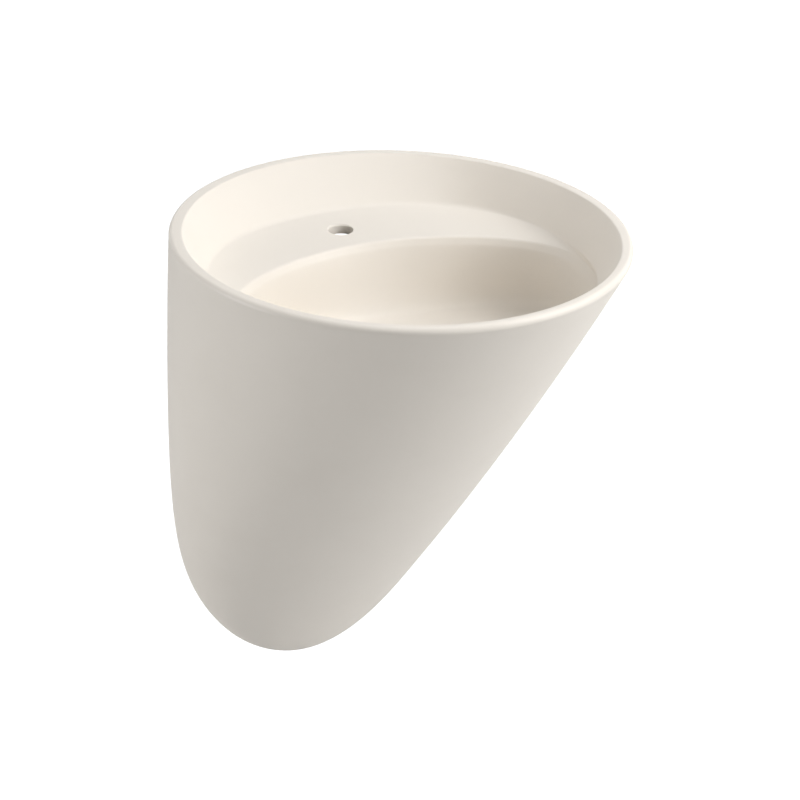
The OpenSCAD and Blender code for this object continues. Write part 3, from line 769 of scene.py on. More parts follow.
    def tap_cutter(self) -> bpy.types.Object:
        """Makes the cutter of the tap hole.

        Returns:
            The cutter, with a rounded upper edge and a flat seat for the tap's nut below.
        """
        level, e = RIM_Z - self.tap_drop, self.tap_edge
        arc = [(self.tap_r + e - e * math.cos(a), level - e + e * math.sin(a))
               for a in np.linspace(0, math.radians(self.tap_edge_deg), 7)]
        under, clear = level - self.slab, self.tap_clear
        seat = under + self.tap_seat_depth
        path = [(0.0, under - clear), (self.tap_seat_r, under - clear),
                (self.tap_seat_r, seat), (self.tap_r, seat), *arc,
                (self.tap_r + e + self.tap_flare, level + clear), (0.0, level + clear)]
        return turned("tap_cutter", path, (0.0, self.tap_y, 0.0), Axis.UP,
                      [self.glaze, self.raw], segments=128)

    def build(self) -> bpy.types.Object:
        """Builds and dresses the body.

        Returns:
            The body's object.
        """
        points, faces = stacked(self.skin_rings() + self.inside_rings())
        body = make_object("fire_clay_body", points, faces, [self.glaze, self.raw])
        low, high = self.waste_cut
        outline = [(0, low), (self.waste_r, low), (self.waste_r, high), (0, high)]
        hole = turned("waste_cutter", outline,
                      (0.0, WASTE_Y, RIM_Z - self.recess_drop - self.recess_depth), Axis.UP,
                      [self.glaze, self.raw], segments=96)
        carve(body, [self.hollow(), self.tap_cutter(), hole], "DIFFERENCE")
        for face in body.data.polygons:
            if face.center.y > -self.wall_play * MM and face.normal.y > self.wall_cosine:
                face.material_index = Region.RAW.value
        shade(body, self.sharp_deg)
        return body


def block(name: str, low: Point, high: Point, edge: float,
          materials: Sequence[bpy.types.Material], slot: int = 0) -> bpy.types.Object:
    """Makes a block with rounded edges.

    Args:
        name: the piece's name.
        low: lowest corner in millimetres.
        high: highest corner.
        edge: radius of the edges.
        materials: the material slots.
        slot: the slot that all faces take.

    Returns:
        The object.
    """
    work = bmesh.new()
    bmesh.ops.create_cube(work, size=1.0)
    for vert in work.verts:
        vert.co = Vector((low[i] + (high[i] - low[i]) * (vert.co[i] + 0.5) for i in range(3)))
    bmesh.ops.bevel(work, geom=work.edges[:], offset=edge, segments=4, profile=0.5,
                    affect="EDGES")
    work.verts.index_update()
    points = np.array([vert.co[:] for vert in work.verts])
    faces = [[vert.index for vert in face.verts] for face in work.faces]
    work.free()
    return make_object(name, points, faces, materials, [slot] * len(faces))


def rounded(corners: Sequence[tuple[float, ...]], steps: int = 4) -> list[tuple[float, float]]:
    """Rounds the corners of a closed outline.

    Args:
        corners: each corner's two coordinates and, where it is rounded, its reach.
        steps: how many steps a rounding takes.

    Returns:
        The outline's points.
    """
    out: list[tuple[float, float]] = []
    for i, corner in enumerate(corners):
        here = np.array(corner[:2], float)
        if len(corner) == 2 or corner[2] == 0:
            out.append((here[0], here[1]))
            continue
        before = np.array(corners[i - 1][:2], float)
        after = np.array(corners[(i + 1) % len(corners)][:2], float)
        out += [(p[0], p[1]) for p in bend(before, here, after, corner[2], corner[2], steps)]
    return out


def turned(name: str, outline: Sequence[tuple[float, float]], place: Point, axis: Axis,
           materials: Sequence[bpy.types.Material], segments: int = 96,
           rule: RadiusRule | None = None) -> bpy.types.Object:
    """Turns a closed outline round an axis.

    Args:
        name: the piece's name.
        outline: radius and height of each point, in millimetres.
        place: a point on the axis that height 0 stands for.
        axis: the direction of the height.
        materials: the material slots.
        segments: steps around.
        rule: changes a radius by radius, height and angle, for ribs, flats and threads.

    Returns:
        The object.
    """
    points: list[Point] = []
    for radius, height in outline:
        for j in range(segments):
            a = math.tau * j / segments
            r = rule(radius, height, a) if rule and radius > 0 else radius
            if axis is Axis.UP:
                spot = (r * math.cos(a), r * math.sin(a), height)
            else:
                spot = (r * math.cos(a), height, r * math.sin(a))
            points.append((place[0] + spot[0], place[1] + spot[1], place[2] + spot[2]))
    faces = []
    count = len(outline)
    for i in range(count):
        k = (i + 1) % count
        if outline[i][0] == 0 and outline[k][0] == 0:
            continue
        for j in range(segments):
            n = (j + 1) % segments
            faces.append((i * segments + j, i * segments + n, k * segments + n, k * segments + j))
    return make_object(name, np.array(points), faces, materials)


def divided(outline: Sequence[tuple[float, float]], low: float, high: float,
            step: float) -> list[tuple[float, float]]:
    """Adds points to the upright stretches of an outline, for threads and flats.

    Args:
        outline: the outline's points.
        low: lowest height that gets them.
        high: highest height.
        step: the distance between them.

    Returns:
        The outline with the added points.
    """
    out: list[tuple[float, float]] = []
    for i, here in enumerate(outline):
        there = outline[(i + 1) % len(outline)]
        out.append(here)
        rise = there[1] - here[1]
        within = min(here[1], there[1]) < high and max(here[1], there[1]) > low
        if within and abs(here[0] - there[0]) < SAME:
            count = int(abs(rise) / step)
            out += [(here[0], here[1] + rise * k / count) for k in range(1, count)]
    return out


def thread(radius: float, pitch: float, depth: float, low: float, high: float) -> RadiusRule:
    """Makes the rule of a screw thread cut into an outer wall.

    Args:
        radius: the wall's radius.
        pitch: rise of one turn.
        depth: depth of the groove.
        low: height at which the thread starts.
        high: height at which it ends.

    Returns:
        The rule.
    """
    def rule(r: float, z: float, a: float) -> float:
        """Lowers the wall in the groove of the thread.

        Args:
            r: radius of the plain wall.
            z: height.
            a: angle around.

        Returns:
            The radius there.
        """
        if abs(r - radius) > SAME or not low <= z <= high:
            return r
        phase = ((z - low) / pitch - a / math.tau) % 1
        fade = min(1.0, (z - low) / pitch, (high - z) / pitch)
        return r - depth * fade * (1 - abs(2 * phase - 1))
    return rule


def hexagon(across: float, low: float, high: float, chamfer: float) -> RadiusRule:
    """Makes the rule of a six sided nut with turned chamfers.

    Args:
        across: width across the flats.
        low: height of the lower face.
        high: height of the upper face.
        chamfer: how far the corners are turned off at the faces.

    Returns:
        The rule.
    """
    corner = across / 2 / math.cos(math.pi / 6)
    inside, steepness = across / 2 - 0.5, 1.8

    def rule(r: float, z: float, a: float) -> float:
        """Takes the flat or the chamfer, whichever lies further in.

        Args:
            r: radius of the plain wall.
            z: height.
            a: angle around.

        Returns:
            The radius there.
        """
        if r < inside:
            return r
        flat = across / 2 / math.cos((a + math.pi / 6) % (math.pi / 3) - math.pi / 6)
        return min(flat, corner - chamfer + steepness * min(z - low, high - z))
    return rule


def grips(radius: float, depth: float, low: float, high: float, count: int = 16) -> RadiusRule:
    """Makes the rule of finger grooves in the outer wall of a nut.

    Args:
        radius: the wall's radius.
        depth: depth of a groove.
        low: height at which the grooves start.
        high: height at which they end.
        count: grooves around.

    Returns:
        The rule.
    """
    half_width, inside = 1.9 / radius, radius - 1.4
    pitch = math.tau / count

    def rule(r: float, z: float, a: float) -> float:
        """Lowers the wall in a groove.

        Args:
            r: radius of the plain wall.
            z: height.
            a: angle around.

        Returns:
            The radius there.
        """
        if r < inside or not low <= z <= high:
            return r
        off = abs((a + pitch / 2) % pitch - pitch / 2) / half_width
        return r - depth * max(0.0, 1 - off * off)
    return rule


@dataclass(frozen=True)
class Palette:
    """All finishes as materials."""

    glaze: bpy.types.Material
    raw: bpy.types.Material
    chrome: bpy.types.Material
    brass: bpy.types.Material
    zinc: bpy.types.Material
    wire: bpy.types.Material
    rubber: bpy.types.Material
    nylon: bpy.types.Material
    plastic: bpy.types.Material
    pipe: bpy.types.Material


def settle(piece: bpy.types.Object, node: str, body: str = "basin") -> None:
    """Puts a finished piece in the place of its solid and reports it.

    Args:
        piece: the piece.
        node: the solid that it stands for.
        body: the body that it rides on.
    """
    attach(piece, body)
    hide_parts(node)
    log.info("%s: %d faces", piece.name, len(piece.data.polygons))


def upright(name: str, corners: Sequence[tuple[float, ...]], material: bpy.types.Material,
            rule: RadiusRule | None = None, fine: tuple[float, float, float] | None = None,
            segments: int = 96) -> bpy.types.Object:
    """Turns a rounded outline round the axis of the waste.

    Args:
        name: the piece's name.
        corners: radius, height and rounding of each corner.
        material: its finish.
        rule: ribs, flats or a thread.
        fine: lowest height, highest height and step of added points.
        segments: steps around.

    Returns:
        The object.
    """
    outline = rounded(corners)
    if fine:
        outline = divided(outline, *fine)
    return turned(name, outline, (0.0, WASTE_Y, 0.0), Axis.UP, [material], segments, rule)


def level(name: str, corners: Sequence[tuple[float, ...]], material: bpy.types.Material,
          rule: RadiusRule | None = None, segments: int = 96) -> bpy.types.Object:
    """Turns a rounded outline round the axis of the outlet.

    Args:
        name: the piece's name.
        corners: radius, y and rounding of each corner.
        material: its finish.
        rule: ribs or a thread.
        segments: steps around.

    Returns:
        The object.
    """
    return turned(name, rounded(corners), (0.0, 0.0, OUTLET_Z), Axis.INTO_WALL, [material],
                  segments, rule)


def ring(node: str, name: str, inner: float, edge: float, material: bpy.types.Material) -> None:
    """Builds a flat ring with rounded outer edges in the place of its solid.

    Args:
        node: the solid.
        name: the piece's name.
        inner: radius of the hole.
        edge: rounding of the edges.
        material: its finish.
    """
    at = Extent.of(node)
    corners = [(inner, at.foot), (at.radius, at.foot, edge), (at.radius, at.top, edge),
               (inner, at.top)]
    settle(upright(name, corners, material), node)


def cone(node: str, name: str, axis: Axis, hole: float, material: bpy.types.Material) -> None:
    """Builds a tapered seal ring in the place of its solid.

    Args:
        node: the solid.
        name: the piece's name.
        axis: the direction in which it widens.
        hole: radius of the pipe in it.
        material: its finish.
    """
    at = Extent.of(node)
    low, high = (at.foot, at.top) if axis is Axis.UP else (at.front, at.back)
    taper, edge = 0.5, 0.3
    corners = [(hole, low), (at.radius - taper, low, edge), (at.radius, high, edge), (hole, high)]
    make = upright if axis is Axis.UP else level
    settle(make(name, corners, material), node)


@dataclass
class Waste:
    """The push open waste without its plug: tube, gaskets, nut and guide."""

    palette: Palette
    # The tube, its flange with the step for the plug's seal, and its thread.
    tube_r: float = 20.95
    bore_r: float = 18.0
    flange_t: float = 3.5
    seal_seat: float = 1.2
    seat_r: float = 23.0
    pitch: float = 2.309
    thread_depth: float = 0.9
    thread_start: float = 0.8
    # The pieces that slip over the thread.
    fit_r: float = 21.1
    flats: float = 56.0
    chamfer: float = 1.6
    gasket_bevel: float = 2.0
    # The cross in the tube: a hub on three arms.
    hub_r: float = 9.0
    hub_h: float = 6.0
    arm_t: float = 3.0
    arm_sink: float = 0.5
    arm_inset: float = 0.2
    # The guide of the plunger, whose stem sits in the hub.
    stem_r: float = 5.0
    guide_bore: float = 4.08
    guide_floor: float = 2.0

    def build(self) -> None:
        """Builds and places the pieces."""
        rubber, brass = self.palette.rubber, self.palette.brass
        self.tube()
        ring("flange_gasket", "flange_gasket_ring", self.seat_r, 0.5, rubber)
        ring("slip_washer", "slip_washer_ring", self.fit_r, 0.4, self.palette.plastic)
        at = Extent.of("ceramic_gasket")
        corners = [(self.fit_r, at.foot, 0.4), (at.radius, at.foot, 0.8),
                   (at.radius - self.gasket_bevel, at.top, 0.4), (self.fit_r, at.top)]
        settle(upright("ceramic_gasket_ring", corners, rubber), "ceramic_gasket")
        at = Extent.of("waste_locknut")
        corners = [(self.fit_r, at.foot, 0.8), (at.radius, at.foot), (at.radius, at.top),
                   (self.fit_r, at.top, 0.8)]
        flats = hexagon(self.flats, at.foot, at.top, self.chamfer)
        nut = upright("lock_nut", corners, brass, flats, (at.foot, at.top, 0.6), 144)
        settle(nut, "waste_locknut")
        at = Extent.of("plunger_guide")
        shoulder = at.foot + self.hub_h
        floor = shoulder + self.guide_floor
        corners = [(0, at.foot), (self.stem_r, at.foot, 0.7), (self.stem_r, shoulder),
                   (at.radius, shoulder, 0.5), (at.radius, at.top, 0.9),
                   (self.guide_bore, at.top, 0.3), (self.guide_bore, floor), (0, floor)]
        settle(upright("plug_guide", corners, brass, segments=64), "plunger_guide")
        settle(self.coil(), "click_spring")

    def tube(self) -> None:
        """Builds the threaded tube with its flange, cross and hub."""
        at, chrome = Extent.of("waste_body"), self.palette.chrome
        flange, step = at.top - self.flange_t, at.top - self.seal_seat
        corners = [(self.bore_r, at.foot, 0.5), (self.tube_r, at.foot, 0.8), (self.tube_r, flange),
                   (at.radius, flange, 0.4), (at.radius, at.top, 1.4), (self.seat_r, at.top, 0.6),
                   (self.seat_r, step), (self.bore_r, step, 0.5)]
        groove = thread(self.tube_r, self.pitch, self.thread_depth,
                        at.foot + self.thread_start, Extent.of("ceramic_gasket").top)
        body = upright("waste_tube", corners, chrome, groove, (at.foot, flange, self.pitch / 7))
        hub_top = at.foot + self.hub_h
        bore = self.stem_r + FIT_GAP
        hub = upright("hub", [(bore, at.foot), (self.hub_r, at.foot, 0.6),
                              (self.hub_r, hub_top, 0.6), (bore, hub_top)], chrome)
        arms = []
        for i in range(3):
            low = (self.hub_r - self.arm_sink, -self.arm_t / 2, at.foot + self.arm_inset)
            high = (self.bore_r + self.arm_sink, self.arm_t / 2, hub_top - self.arm_inset)
            arm = block(f"arm_{i}", low, high, 0.5, [chrome])
            arm.data.transform(Matrix.Translation((0, WASTE_Y * MM, 0))
                               @ Matrix.Rotation(math.tau * i / 3, 4, "Z"))
            arms.append(arm)
        carve(body, [hub, *arms], "UNION")
        shade(body)
        settle(body, "waste_body")

    def coil(self) -> bpy.types.Object:
        """Winds the spring of the guide.

        Returns:
            The spring.
        """
        at = Extent.of("click_spring")
        wire, turns, sides, steps = 0.4, 6.0, 10, 192
        radius = at.radius - wire
        points = []
        for u in np.linspace(0, 1, steps + 1):
            a = math.tau * turns * u
            rise = at.foot + wire + (at.top - at.foot - 2 * wire) * u
            for b in np.arange(sides) * math.tau / sides:
                r = radius + wire * math.cos(b)
                points.append((r * math.cos(a), WASTE_Y + r * math.sin(a),
                               rise + wire * math.sin(b)))
        rows = np.array(points).reshape(steps + 1, sides, 3)
        points, faces = stacked(list(rows))
        return make_object("guide_spring", points, faces, [self.palette.wire], sharp_deg=60)


@dataclass
class PushPlug:
    """The moving plug: plunger, domed cap and seal."""

    palette: Palette
    rod_r: float = 4.0
    boss_r: float = 11.85
    dome: float = 3.0
    dome_inset: float = 0.9
    rim_drop: float = 0.1

    def build(self) -> None:
        """Builds and places the pieces."""
        at = Extent.of("plunger")
        r = self.rod_r
        rod = upright("plunger_rod", [(0, at.foot), (r, at.foot, 0.5), (r, at.top), (0, at.top)],
                      self.palette.brass, segments=64)
        settle(rod, "plunger", "plug")
        rim_top = at.top
        at, seal = Extent.of("plug_cap"), Extent.of("plug_seal")
        under = seal.top
        sphere = (at.radius ** 2 + self.dome ** 2) / (2 * self.dome)
        arc = [(x, rim_top + self.dome - sphere + math.sqrt(sphere ** 2 - x * x))
               for x in np.linspace(at.radius - self.dome_inset, 0, 22)]
        corners = [(r, at.foot, 0.4), (self.boss_r, at.foot, 0.8), (self.boss_r, under, 0.4),
                   (at.radius, under, 0.5), (at.radius, rim_top - self.rim_drop, 0.8), *arc,
                   (0, rim_top), (r, rim_top)]
        cap = upright("domed_cap", corners, self.palette.chrome, segments=144)
        settle(cap, "plug_cap", "plug")
        inner = self.boss_r + FIT_GAP
        corners = [(inner, seal.foot, 0.3), (seal.radius, seal.foot, 0.6),
                   (seal.radius, seal.top, 0.6), (inner, seal.top)]
        ring_seal = upright("cap_seal", corners, self.palette.rubber)
        settle(ring_seal, "plug_seal", "plug")


@dataclass
class BottleTrap:
    """The bottle trap with its nuts, seals and the pipe into the wall."""

    palette: Palette
    # The pipes, and the slimmer end that goes into the drain.
    pipe_r: float = 16.0
    bore_r: float = 14.0
    end_r: float = 15.75
    end_y: float = 2.0
    tail_r: float = 20.45
    # The nuts: play round the pipe, lip, radii inside the threads and grooves.
    loose_r: float = 16.15
    lip: float = 3.0
    neck_fit: float = 19.9
    inlet_fit: float = 21.1
    grip_depth: float = 1.0
    grip_step: float = 1.2
    # The bottle with its necks, and the cup that screws over it.
    neck_r: float = 19.75
    neck_length: float = 15.0
    neck_root: float = 1.6
    bottle_r: float = 28.0
    wall: float = 2.5
    outer_round: float = 7.0
    inner_round: float = 5.0
    # The cover ring at the wall.
    cover_slope: float = 6.0
    cover_round: float = 3.0
    cover_rim: float = 0.8

    def build(self) -> None:
        """Builds and places the pieces."""
        rubber = self.palette.rubber
        nut = Extent.of("inlet_nut")
        self.nut("inlet_nut", "union_nut", Axis.UP, False, self.inlet_fit)
        self.nut("collar_nut", "collar_ring", Axis.UP, True, self.neck_fit)
        self.nut("outlet_nut", "outlet_ring", Axis.INTO_WALL, True, self.neck_fit)
        ring("inlet_seal", "union_seal", self.bore_r, 0.4, rubber)
        cone("collar_seal", "collar_cone", Axis.UP, self.pipe_r, rubber)
        cone("outlet_seal", "outlet_cone", Axis.INTO_WALL, self.pipe_r, rubber)
        at = Extent.of("dip_tube")
        tail = nut.foot + self.lip
        corners = [(self.bore_r, at.foot), (self.pipe_r, at.foot, 0.6), (self.pipe_r, tail),
                   (self.tail_r, tail, 0.4), (self.tail_r, at.top, 0.4), (self.bore_r, at.top, 0.4)]
        settle(upright("dip_pipe", corners, self.palette.pipe), "dip_tube")
        self.bottle()
        self.cup()
        self.outlet()

    def nut(self, node: str, name: str, axis: Axis, flipped: bool, thread_r: float) -> None:
        """Builds a plastic nut with finger grooves.

        Args:
            node: the solid.
            name: the piece's name.
            axis: the direction of its bore.
            flipped: whether its lip is at the far end.
            thread_r: radius inside its thread.
        """
        at = Extent.of(node)
        low, high = (at.foot, at.top) if axis is Axis.UP else (at.front, at.back)
        end, mouth = (high, low) if flipped else (low, high)
        way = 1 if mouth > end else -1
        step = end + way * self.lip
        corners = [(self.loose_r, end, 0.4), (at.radius, end, 1.4), (at.radius, mouth, 1.0),
                   (thread_r, mouth, 0.4), (thread_r, step), (self.loose_r, step)]
        past = mouth + way * CUT
        grooves = grips(at.radius, self.grip_depth, min(step, past), max(step, past))
        outline = divided(rounded(corners), low, high, self.grip_step)
        place = (0.0, WASTE_Y, 0.0) if axis is Axis.UP else (0.0, 0.0, OUTLET_Z)
        piece = turned(name, outline, place, axis, [self.palette.plastic], 192, grooves)
        settle(piece, node)

    def bottle(self) -> None:
        """Builds the bottle with its two necks."""
        at, plastic = Extent.of("trap_bottle"), self.palette.plastic
        shoulder, neck_end = at.top - self.neck_length, at.back
        r, inner = self.bottle_r, self.bottle_r - self.wall
        body = upright("bottle", [(0, at.foot), (r, at.foot, 0.6), (r, shoulder, self.outer_round),
                                  (self.neck_r, shoulder, self.neck_root),
                                  (self.neck_r, at.top, 0.6), (0, at.top)], plastic, segments=128)
        side = level("side_neck", [(0, WASTE_Y), (self.neck_r, WASTE_Y),
                                   (self.neck_r, neck_end, 0.6), (0, neck_end)], plastic,
                     segments=128)
        carve(body, [side], "UNION")
        low, ceiling, high = at.foot - CUT, shoulder - self.wall, at.top + CUT
        space = [(0, low), (inner, low), (inner, ceiling, self.inner_round),
                 (self.loose_r, ceiling), (self.loose_r, high), (0, high)]
        inside = upright("inside", space, plastic, segments=128)
        end = neck_end + CUT
        way = level("way_out", [(0, WASTE_Y), (self.loose_r, WASTE_Y), (self.loose_r, end),
                                (0, end)], plastic)
        carve(body, [inside, way], "DIFFERENCE")
        shade(body)
        settle(body, "trap_bottle")

    def cup(self) -> None:
        """Builds the screw cup and its seal."""
        at, ledge, wall = Extent.of("trap_cup"), Extent.of("cup_seal").foot, self.wall
        lower, inner = self.bottle_r - wall / 2, self.bottle_r - 2 * wall
        open_r = self.bottle_r + FIT_GAP
        corners = [(0, at.foot), (lower, at.foot, self.outer_round), (lower, ledge - wall, 0.8),
                   (at.radius, ledge - wall, 1.2), (at.radius, at.top, 1.0), (open_r, at.top, 0.4),
                   (open_r, ledge), (inner, ledge, 0.6),
                   (inner, at.foot + wall, self.inner_round), (0, at.foot + wall)]
        grooves = grips(at.radius, self.grip_depth, ledge - wall, at.top + CUT)
        piece = upright("screw_cup", corners, self.palette.plastic, grooves,
                        (ledge - wall, at.top, self.grip_step), 192)
        settle(piece, "trap_cup")
        ring("cup_seal", "cup_seal_ring", self.bottle_r - wall, 0.4, self.palette.rubber)

    def outlet(self) -> None:
        """Builds the pipe into the wall and its cover ring."""
        at = Extent.of("outlet_pipe")
        corners = [(self.bore_r, at.front), (self.pipe_r, at.front, 0.5),
                   (self.pipe_r, self.end_y), (self.end_r, self.end_y),
                   (self.end_r, at.back, 0.7), (self.bore_r, at.back, 0.4)]
        settle(level("wall_pipe", corners, self.palette.pipe), "outlet_pipe")
        at = Extent.of("wall_rosette")
        corners = [(self.loose_r, at.front, 0.5),
                   (at.radius - self.cover_slope, at.front, self.cover_round),
                   (at.radius, at.back - self.cover_rim, 0.6), (at.radius, at.back),
                   (self.loose_r, at.back)]
        settle(level("cover_ring", corners, self.palette.chrome, segments=128),
               "wall_rosette")


@dataclass
class Hanger:
    """The steel hanger at the wall and the liner between it and the rib."""

    palette: Palette
    # The back plate with its four holes and broken edges.
    steel: float = 4.0
    plate_round: float = 7.0
    hole_r: float = 4.5
    hole_x: float = 62.0
    hole_z: float = 18.0
    edge: float = 0.5
    # The hook: how far it runs down the plate, and its bends outside, inside and at the plate.
    overlap: float = 2.0
    bend_out: float = 4.0
    bend_in: float = 1.6
    bend_root: float = 2.0
    # The liner and its bends outside and inside.
    liner_t: float = 3.0
    liner_out: float = 1.4
    liner_in: float = 0.8

    def build(self) -> None:
        """Builds and places the pieces."""
        at, liner, t = Extent.of("wall_hanger"), Extent.of("hanger_liner"), self.steel
        shelf, out = liner.foot, at.front
        start = -at.foot - self.overlap
        hook = self.extruded("hook", liner.radius, [
            (0, start), (0, at.top, self.edge), (-t, at.top, self.edge), (-t, shelf, self.bend_in),
            (out + t, shelf, self.bend_in), (out + t, at.top, 0.6), (out, at.top, 0.6),
            (out, shelf - t, self.bend_out), (-t, shelf - t, self.bend_root), (-t, start)],
            self.palette.zinc)
        plate = self.plate(at.radius, -at.foot)
        carve(plate, [hook], "UNION")
        shade(plate, square=True)
        settle(plate, "wall_hanger")
        near, far, d, edge = liner.back, liner.front, self.liner_t, self.edge
        sleeve = self.extruded("liner", liner.radius, [
            (far, shelf, self.liner_out), (far, at.top, edge), (far + d, at.top, edge),
            (far + d, shelf + d, self.liner_in), (near - d, shelf + d, self.liner_in),
            (near - d, at.top, edge), (near, at.top, edge), (near, shelf, self.liner_out)],
            self.palette.nylon)
        settle(sleeve, "hanger_liner")

    def plate(self, half_width: float, half_height: float) -> bpy.types.Object:
        """Cuts the back plate with rounded corners, four holes and broken edges.

        Args:
            half_width: half of its width.
            half_height: half of its height.

        Returns:
            The plate.
        """
        edge, r = self.edge, self.plate_round
        curve = bpy.data.curves.new("plate", "CURVE")
        curve.dimensions, curve.fill_mode = "2D", "BOTH"
        curve.extrude = (self.steel / 2 - edge) * MM
        curve.bevel_depth, curve.bevel_resolution, curve.offset = edge * MM, 2, -edge * MM
        corners = ((-half_width, -half_height), (half_width, -half_height),
                   (half_width, half_height), (-half_width, half_height))
        outline = rounded([(x, z, r) for x, z in corners], 10)
        holes = [[(x + self.hole_r * math.cos(a), z + self.hole_r * math.sin(a))
                  for a in np.linspace(0, math.tau, 40, endpoint=False)]
                 for x in (-self.hole_x, self.hole_x) for z in (-self.hole_z, self.hole_z)]
        for path in (outline, *holes):
            spline = curve.splines.new("POLY")
            spline.points.add(len(path) - 1)
            spline.use_cyclic_u = True
            for point, (x, z) in zip(spline.points, path):
                point.co = (x * MM, z * MM, 0, 1)
        flat = bpy.data.objects.new("plate", curve)
        bpy.context.scene.collection.objects.link(flat)
        graph = bpy.context.evaluated_depsgraph_get()
        mesh = bpy.data.meshes.new_from_object(flat.evaluated_get(graph))
        mesh.transform(Matrix.Translation((0, -self.steel / 2 * MM, 0))
                       @ Matrix.Rotation(math.pi / 2, 4, "X"))
        mesh.materials.clear()
        mesh.materials.append(self.palette.zinc)
        bpy.data.objects.remove(flat)
        plate = bpy.data.objects.new("back_plate", mesh)
        bpy.context.scene.collection.objects.link(plate)
        shade(plate, square=True)
        return plate

    def extruded(self, name: str, half: float, corners: Sequence[tuple[float, ...]],
                 material: bpy.types.Material) -> bpy.types.Object:
        """Draws a bent profile out along the wall.

        Args:
            name: the piece's name.
            half: half of its length.
            corners: y, z and rounding of each corner.
            material: its finish.

        Returns:
            The object.
        """
        outline = rounded(corners, 5)
        points, faces = stacked([np.array([(x, y, z) for y, z in outline]) for x in (-half, half)])
        piece = make_object(name, points, faces, [material])
        shade(piece, square=True)
        return piece


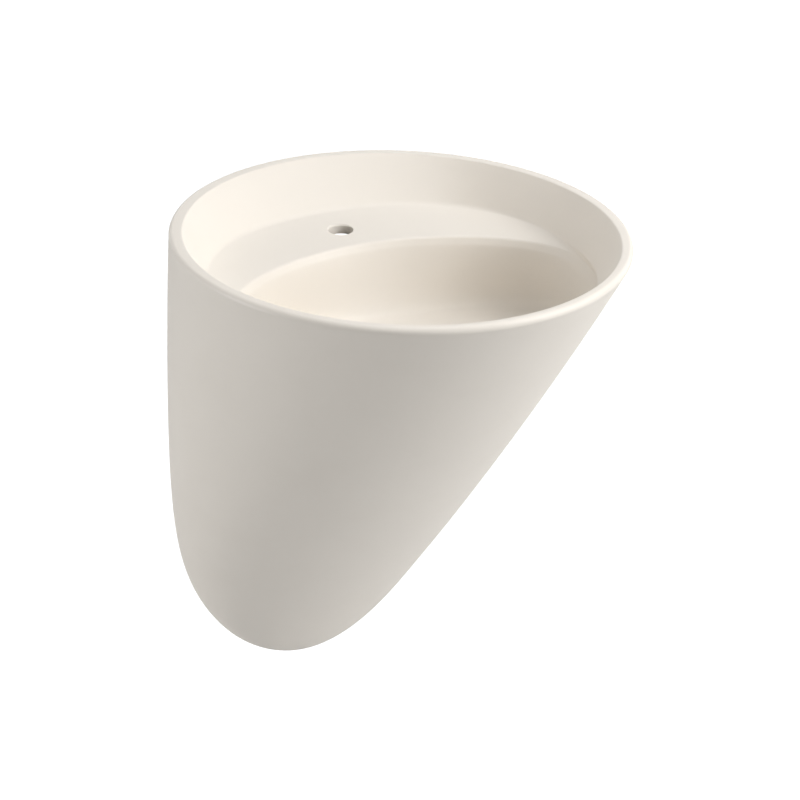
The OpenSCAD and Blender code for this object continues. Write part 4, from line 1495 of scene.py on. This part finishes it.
class Studio:
    """The pale floor, the soft lamps and the camera. Lengths are in metres, the lens in mm."""

    RIM_OVER_FLOOR = 0.85
    FLOOR_Z = RIM_Z * MM - RIM_OVER_FLOOR
    FLOOR_HALF = 30.0
    GLOW_REACH = (1.2, 3.0)
    GLOW_STRENGTH = (0.8, 1.0)
    SOFT_LIGHT = 0.01
    CAMERA_PLACE = (-1.1454, -2.5750, 1.1605)
    CAMERA_AZIMUTH = -26.4272
    CAMERA_ELEVATION = 24.8473
    FILM_WIDTH, LENS = 36.0, 117.0
    CLIP = (0.1, 60.0)
    AIM = (0.0, -0.25, -0.05)
    LAMP_SIZE, LAMP_DISTANCE = 1.5, 3.0
    # name, degrees round from the front, degrees up, watts
    LAMPS = (("key", 45.0, 38.0, 60.0), ("side", -110.0, 8.0, 43.3), ("top", 135.0, 68.0, 24.7),
             ("fill", -45.0, 68.0, 14.1), ("front", -15.0, 8.0, 10.4), ("low", 45.0, 8.0, 22.1))

    def build(self) -> None:
        """Builds the floor, the world, the lamps and the camera."""
        self.floor()
        self.world()
        self.lamps()
        self.camera()
        view = bpy.context.scene.view_settings
        view.view_transform = "Standard"

    def floor(self) -> None:
        """Makes a pale floor that looks paper white, with the object's faint shadow."""
        material = bpy.data.materials.new("studio_floor")
        material.use_nodes = True
        tree = material.node_tree
        tree.nodes.clear()
        matt = add_node(tree, "ShaderNodeBsdfDiffuse", {"Color": linear("DADADA")})
        place = add_node(tree, "ShaderNodeNewGeometry").outputs["Position"]
        away = add_node(tree, "ShaderNodeVectorMath", links={0: place}, operation="LENGTH")
        (near, far), (dim, full) = self.GLOW_REACH, self.GLOW_STRENGTH
        share = add_node(tree, "ShaderNodeMapRange",
                         {"From Min": near, "From Max": far, "To Min": dim, "To Max": full},
                         {"Value": away.outputs["Value"]})
        glow = add_node(tree, "ShaderNodeEmission", {"Color": (1, 1, 1, 1)},
                        {"Strength": share.outputs["Result"]})
        both = add_node(tree, "ShaderNodeAddShader", links={0: matt.outputs[0], 1: glow.outputs[0]})
        seen = add_node(tree, "ShaderNodeLightPath").outputs["Is Camera Ray"]
        mix = add_node(tree, "ShaderNodeMixShader",
                       links={0: seen, 1: matt.outputs[0], 2: both.outputs[0]})
        add_node(tree, "ShaderNodeOutputMaterial", links={"Surface": mix.outputs[0]})
        mesh = bpy.data.meshes.new("studio_floor")
        corners = [(x * self.FLOOR_HALF, y * self.FLOOR_HALF, self.FLOOR_Z)
                   for x, y in ((-1, -1), (1, -1), (1, 1), (-1, 1))]
        mesh.from_pydata(corners, [], [(0, 1, 2, 3)])
        mesh.materials.append(material)
        floor = bpy.data.objects.new("studio_floor", mesh)
        bpy.context.scene.collection.objects.link(floor)

    def world(self) -> None:
        """Lights from all round and shows white to the camera and in mirrors."""
        world = bpy.data.worlds.new("studio")
        world.use_nodes = True
        bpy.context.scene.world = world
        tree = world.node_tree
        tree.nodes.clear()
        path = add_node(tree, "ShaderNodeLightPath")
        seen = add_node(tree, "ShaderNodeMath", None,
                        {0: path.outputs["Is Camera Ray"], 1: path.outputs["Is Glossy Ray"]},
                        operation="MAXIMUM")
        seen = add_node(tree, "ShaderNodeMath", None,
                        {0: seen.outputs[0], 1: path.outputs["Is Transmission Ray"]},
                        operation="MAXIMUM")
        soft = add_node(tree, "ShaderNodeBackground",
                        {"Color": (1, 1, 1, 1), "Strength": self.SOFT_LIGHT})
        white = add_node(tree, "ShaderNodeBackground", {"Color": (1, 1, 1, 1), "Strength": 1.0})
        mix = add_node(tree, "ShaderNodeMixShader", links={0: seen.outputs[0], 1: soft.outputs[0],
                                                           2: white.outputs[0]})
        add_node(tree, "ShaderNodeOutputWorld", links={"Surface": mix.outputs[0]})

    def lamps(self) -> None:
        """Hangs the soft boxes."""
        for name, azimuth, height, power in self.LAMPS:
            light = bpy.data.lights.new(name, "AREA")
            light.shape, light.size, light.energy = "SQUARE", self.LAMP_SIZE, power
            lamp = bpy.data.objects.new(name, light)
            a, e = math.radians(azimuth), math.radians(height)
            out = Vector((math.sin(a) * math.cos(e), -math.cos(a) * math.cos(e), math.sin(e)))
            lamp.location = Vector(self.AIM) + self.LAMP_DISTANCE * out
            lamp.rotation_euler = (-out).to_track_quat("-Z", "Y").to_euler()
            bpy.context.scene.collection.objects.link(lamp)

    def camera(self) -> None:
        """Sets the camera at the photograph's viewing angle."""
        data = bpy.data.cameras.new("camera")
        data.sensor_width, data.lens = self.FILM_WIDTH, self.LENS
        data.clip_start, data.clip_end = self.CLIP
        camera = bpy.data.objects.new("camera", data)
        camera.location = self.CAMERA_PLACE
        turn = (Matrix.Rotation(math.radians(self.CAMERA_AZIMUTH), 3, "Z")
                @ Matrix.Rotation(math.radians(90 - self.CAMERA_ELEVATION), 3, "X"))
        camera.rotation_euler = turn.to_euler()
        bpy.context.scene.collection.objects.link(camera)
        bpy.context.scene.camera = camera


def main() -> None:
    """Builds the washbasin and its studio."""
    logging.basicConfig(level=logging.INFO, format="%(name)s: %(message)s")
    palette = Palette(*(finish.build() for finish in (
        MATT_GLAZE, RAW_CLAY, CHROME, TURNED_BRASS, ZINC_STEEL, SPRING_WIRE, EPDM, NYLON,
        POLYPROPYLENE, PIPE_PLASTIC)))
    settle(BasinBody(palette.glaze, palette.raw).build(), "basin_body")
    Hanger(palette).build()
    Waste(palette).build()
    PushPlug(palette).build()
    BottleTrap(palette).build()
    Studio().build()


if __name__ == "__main__":
    main()
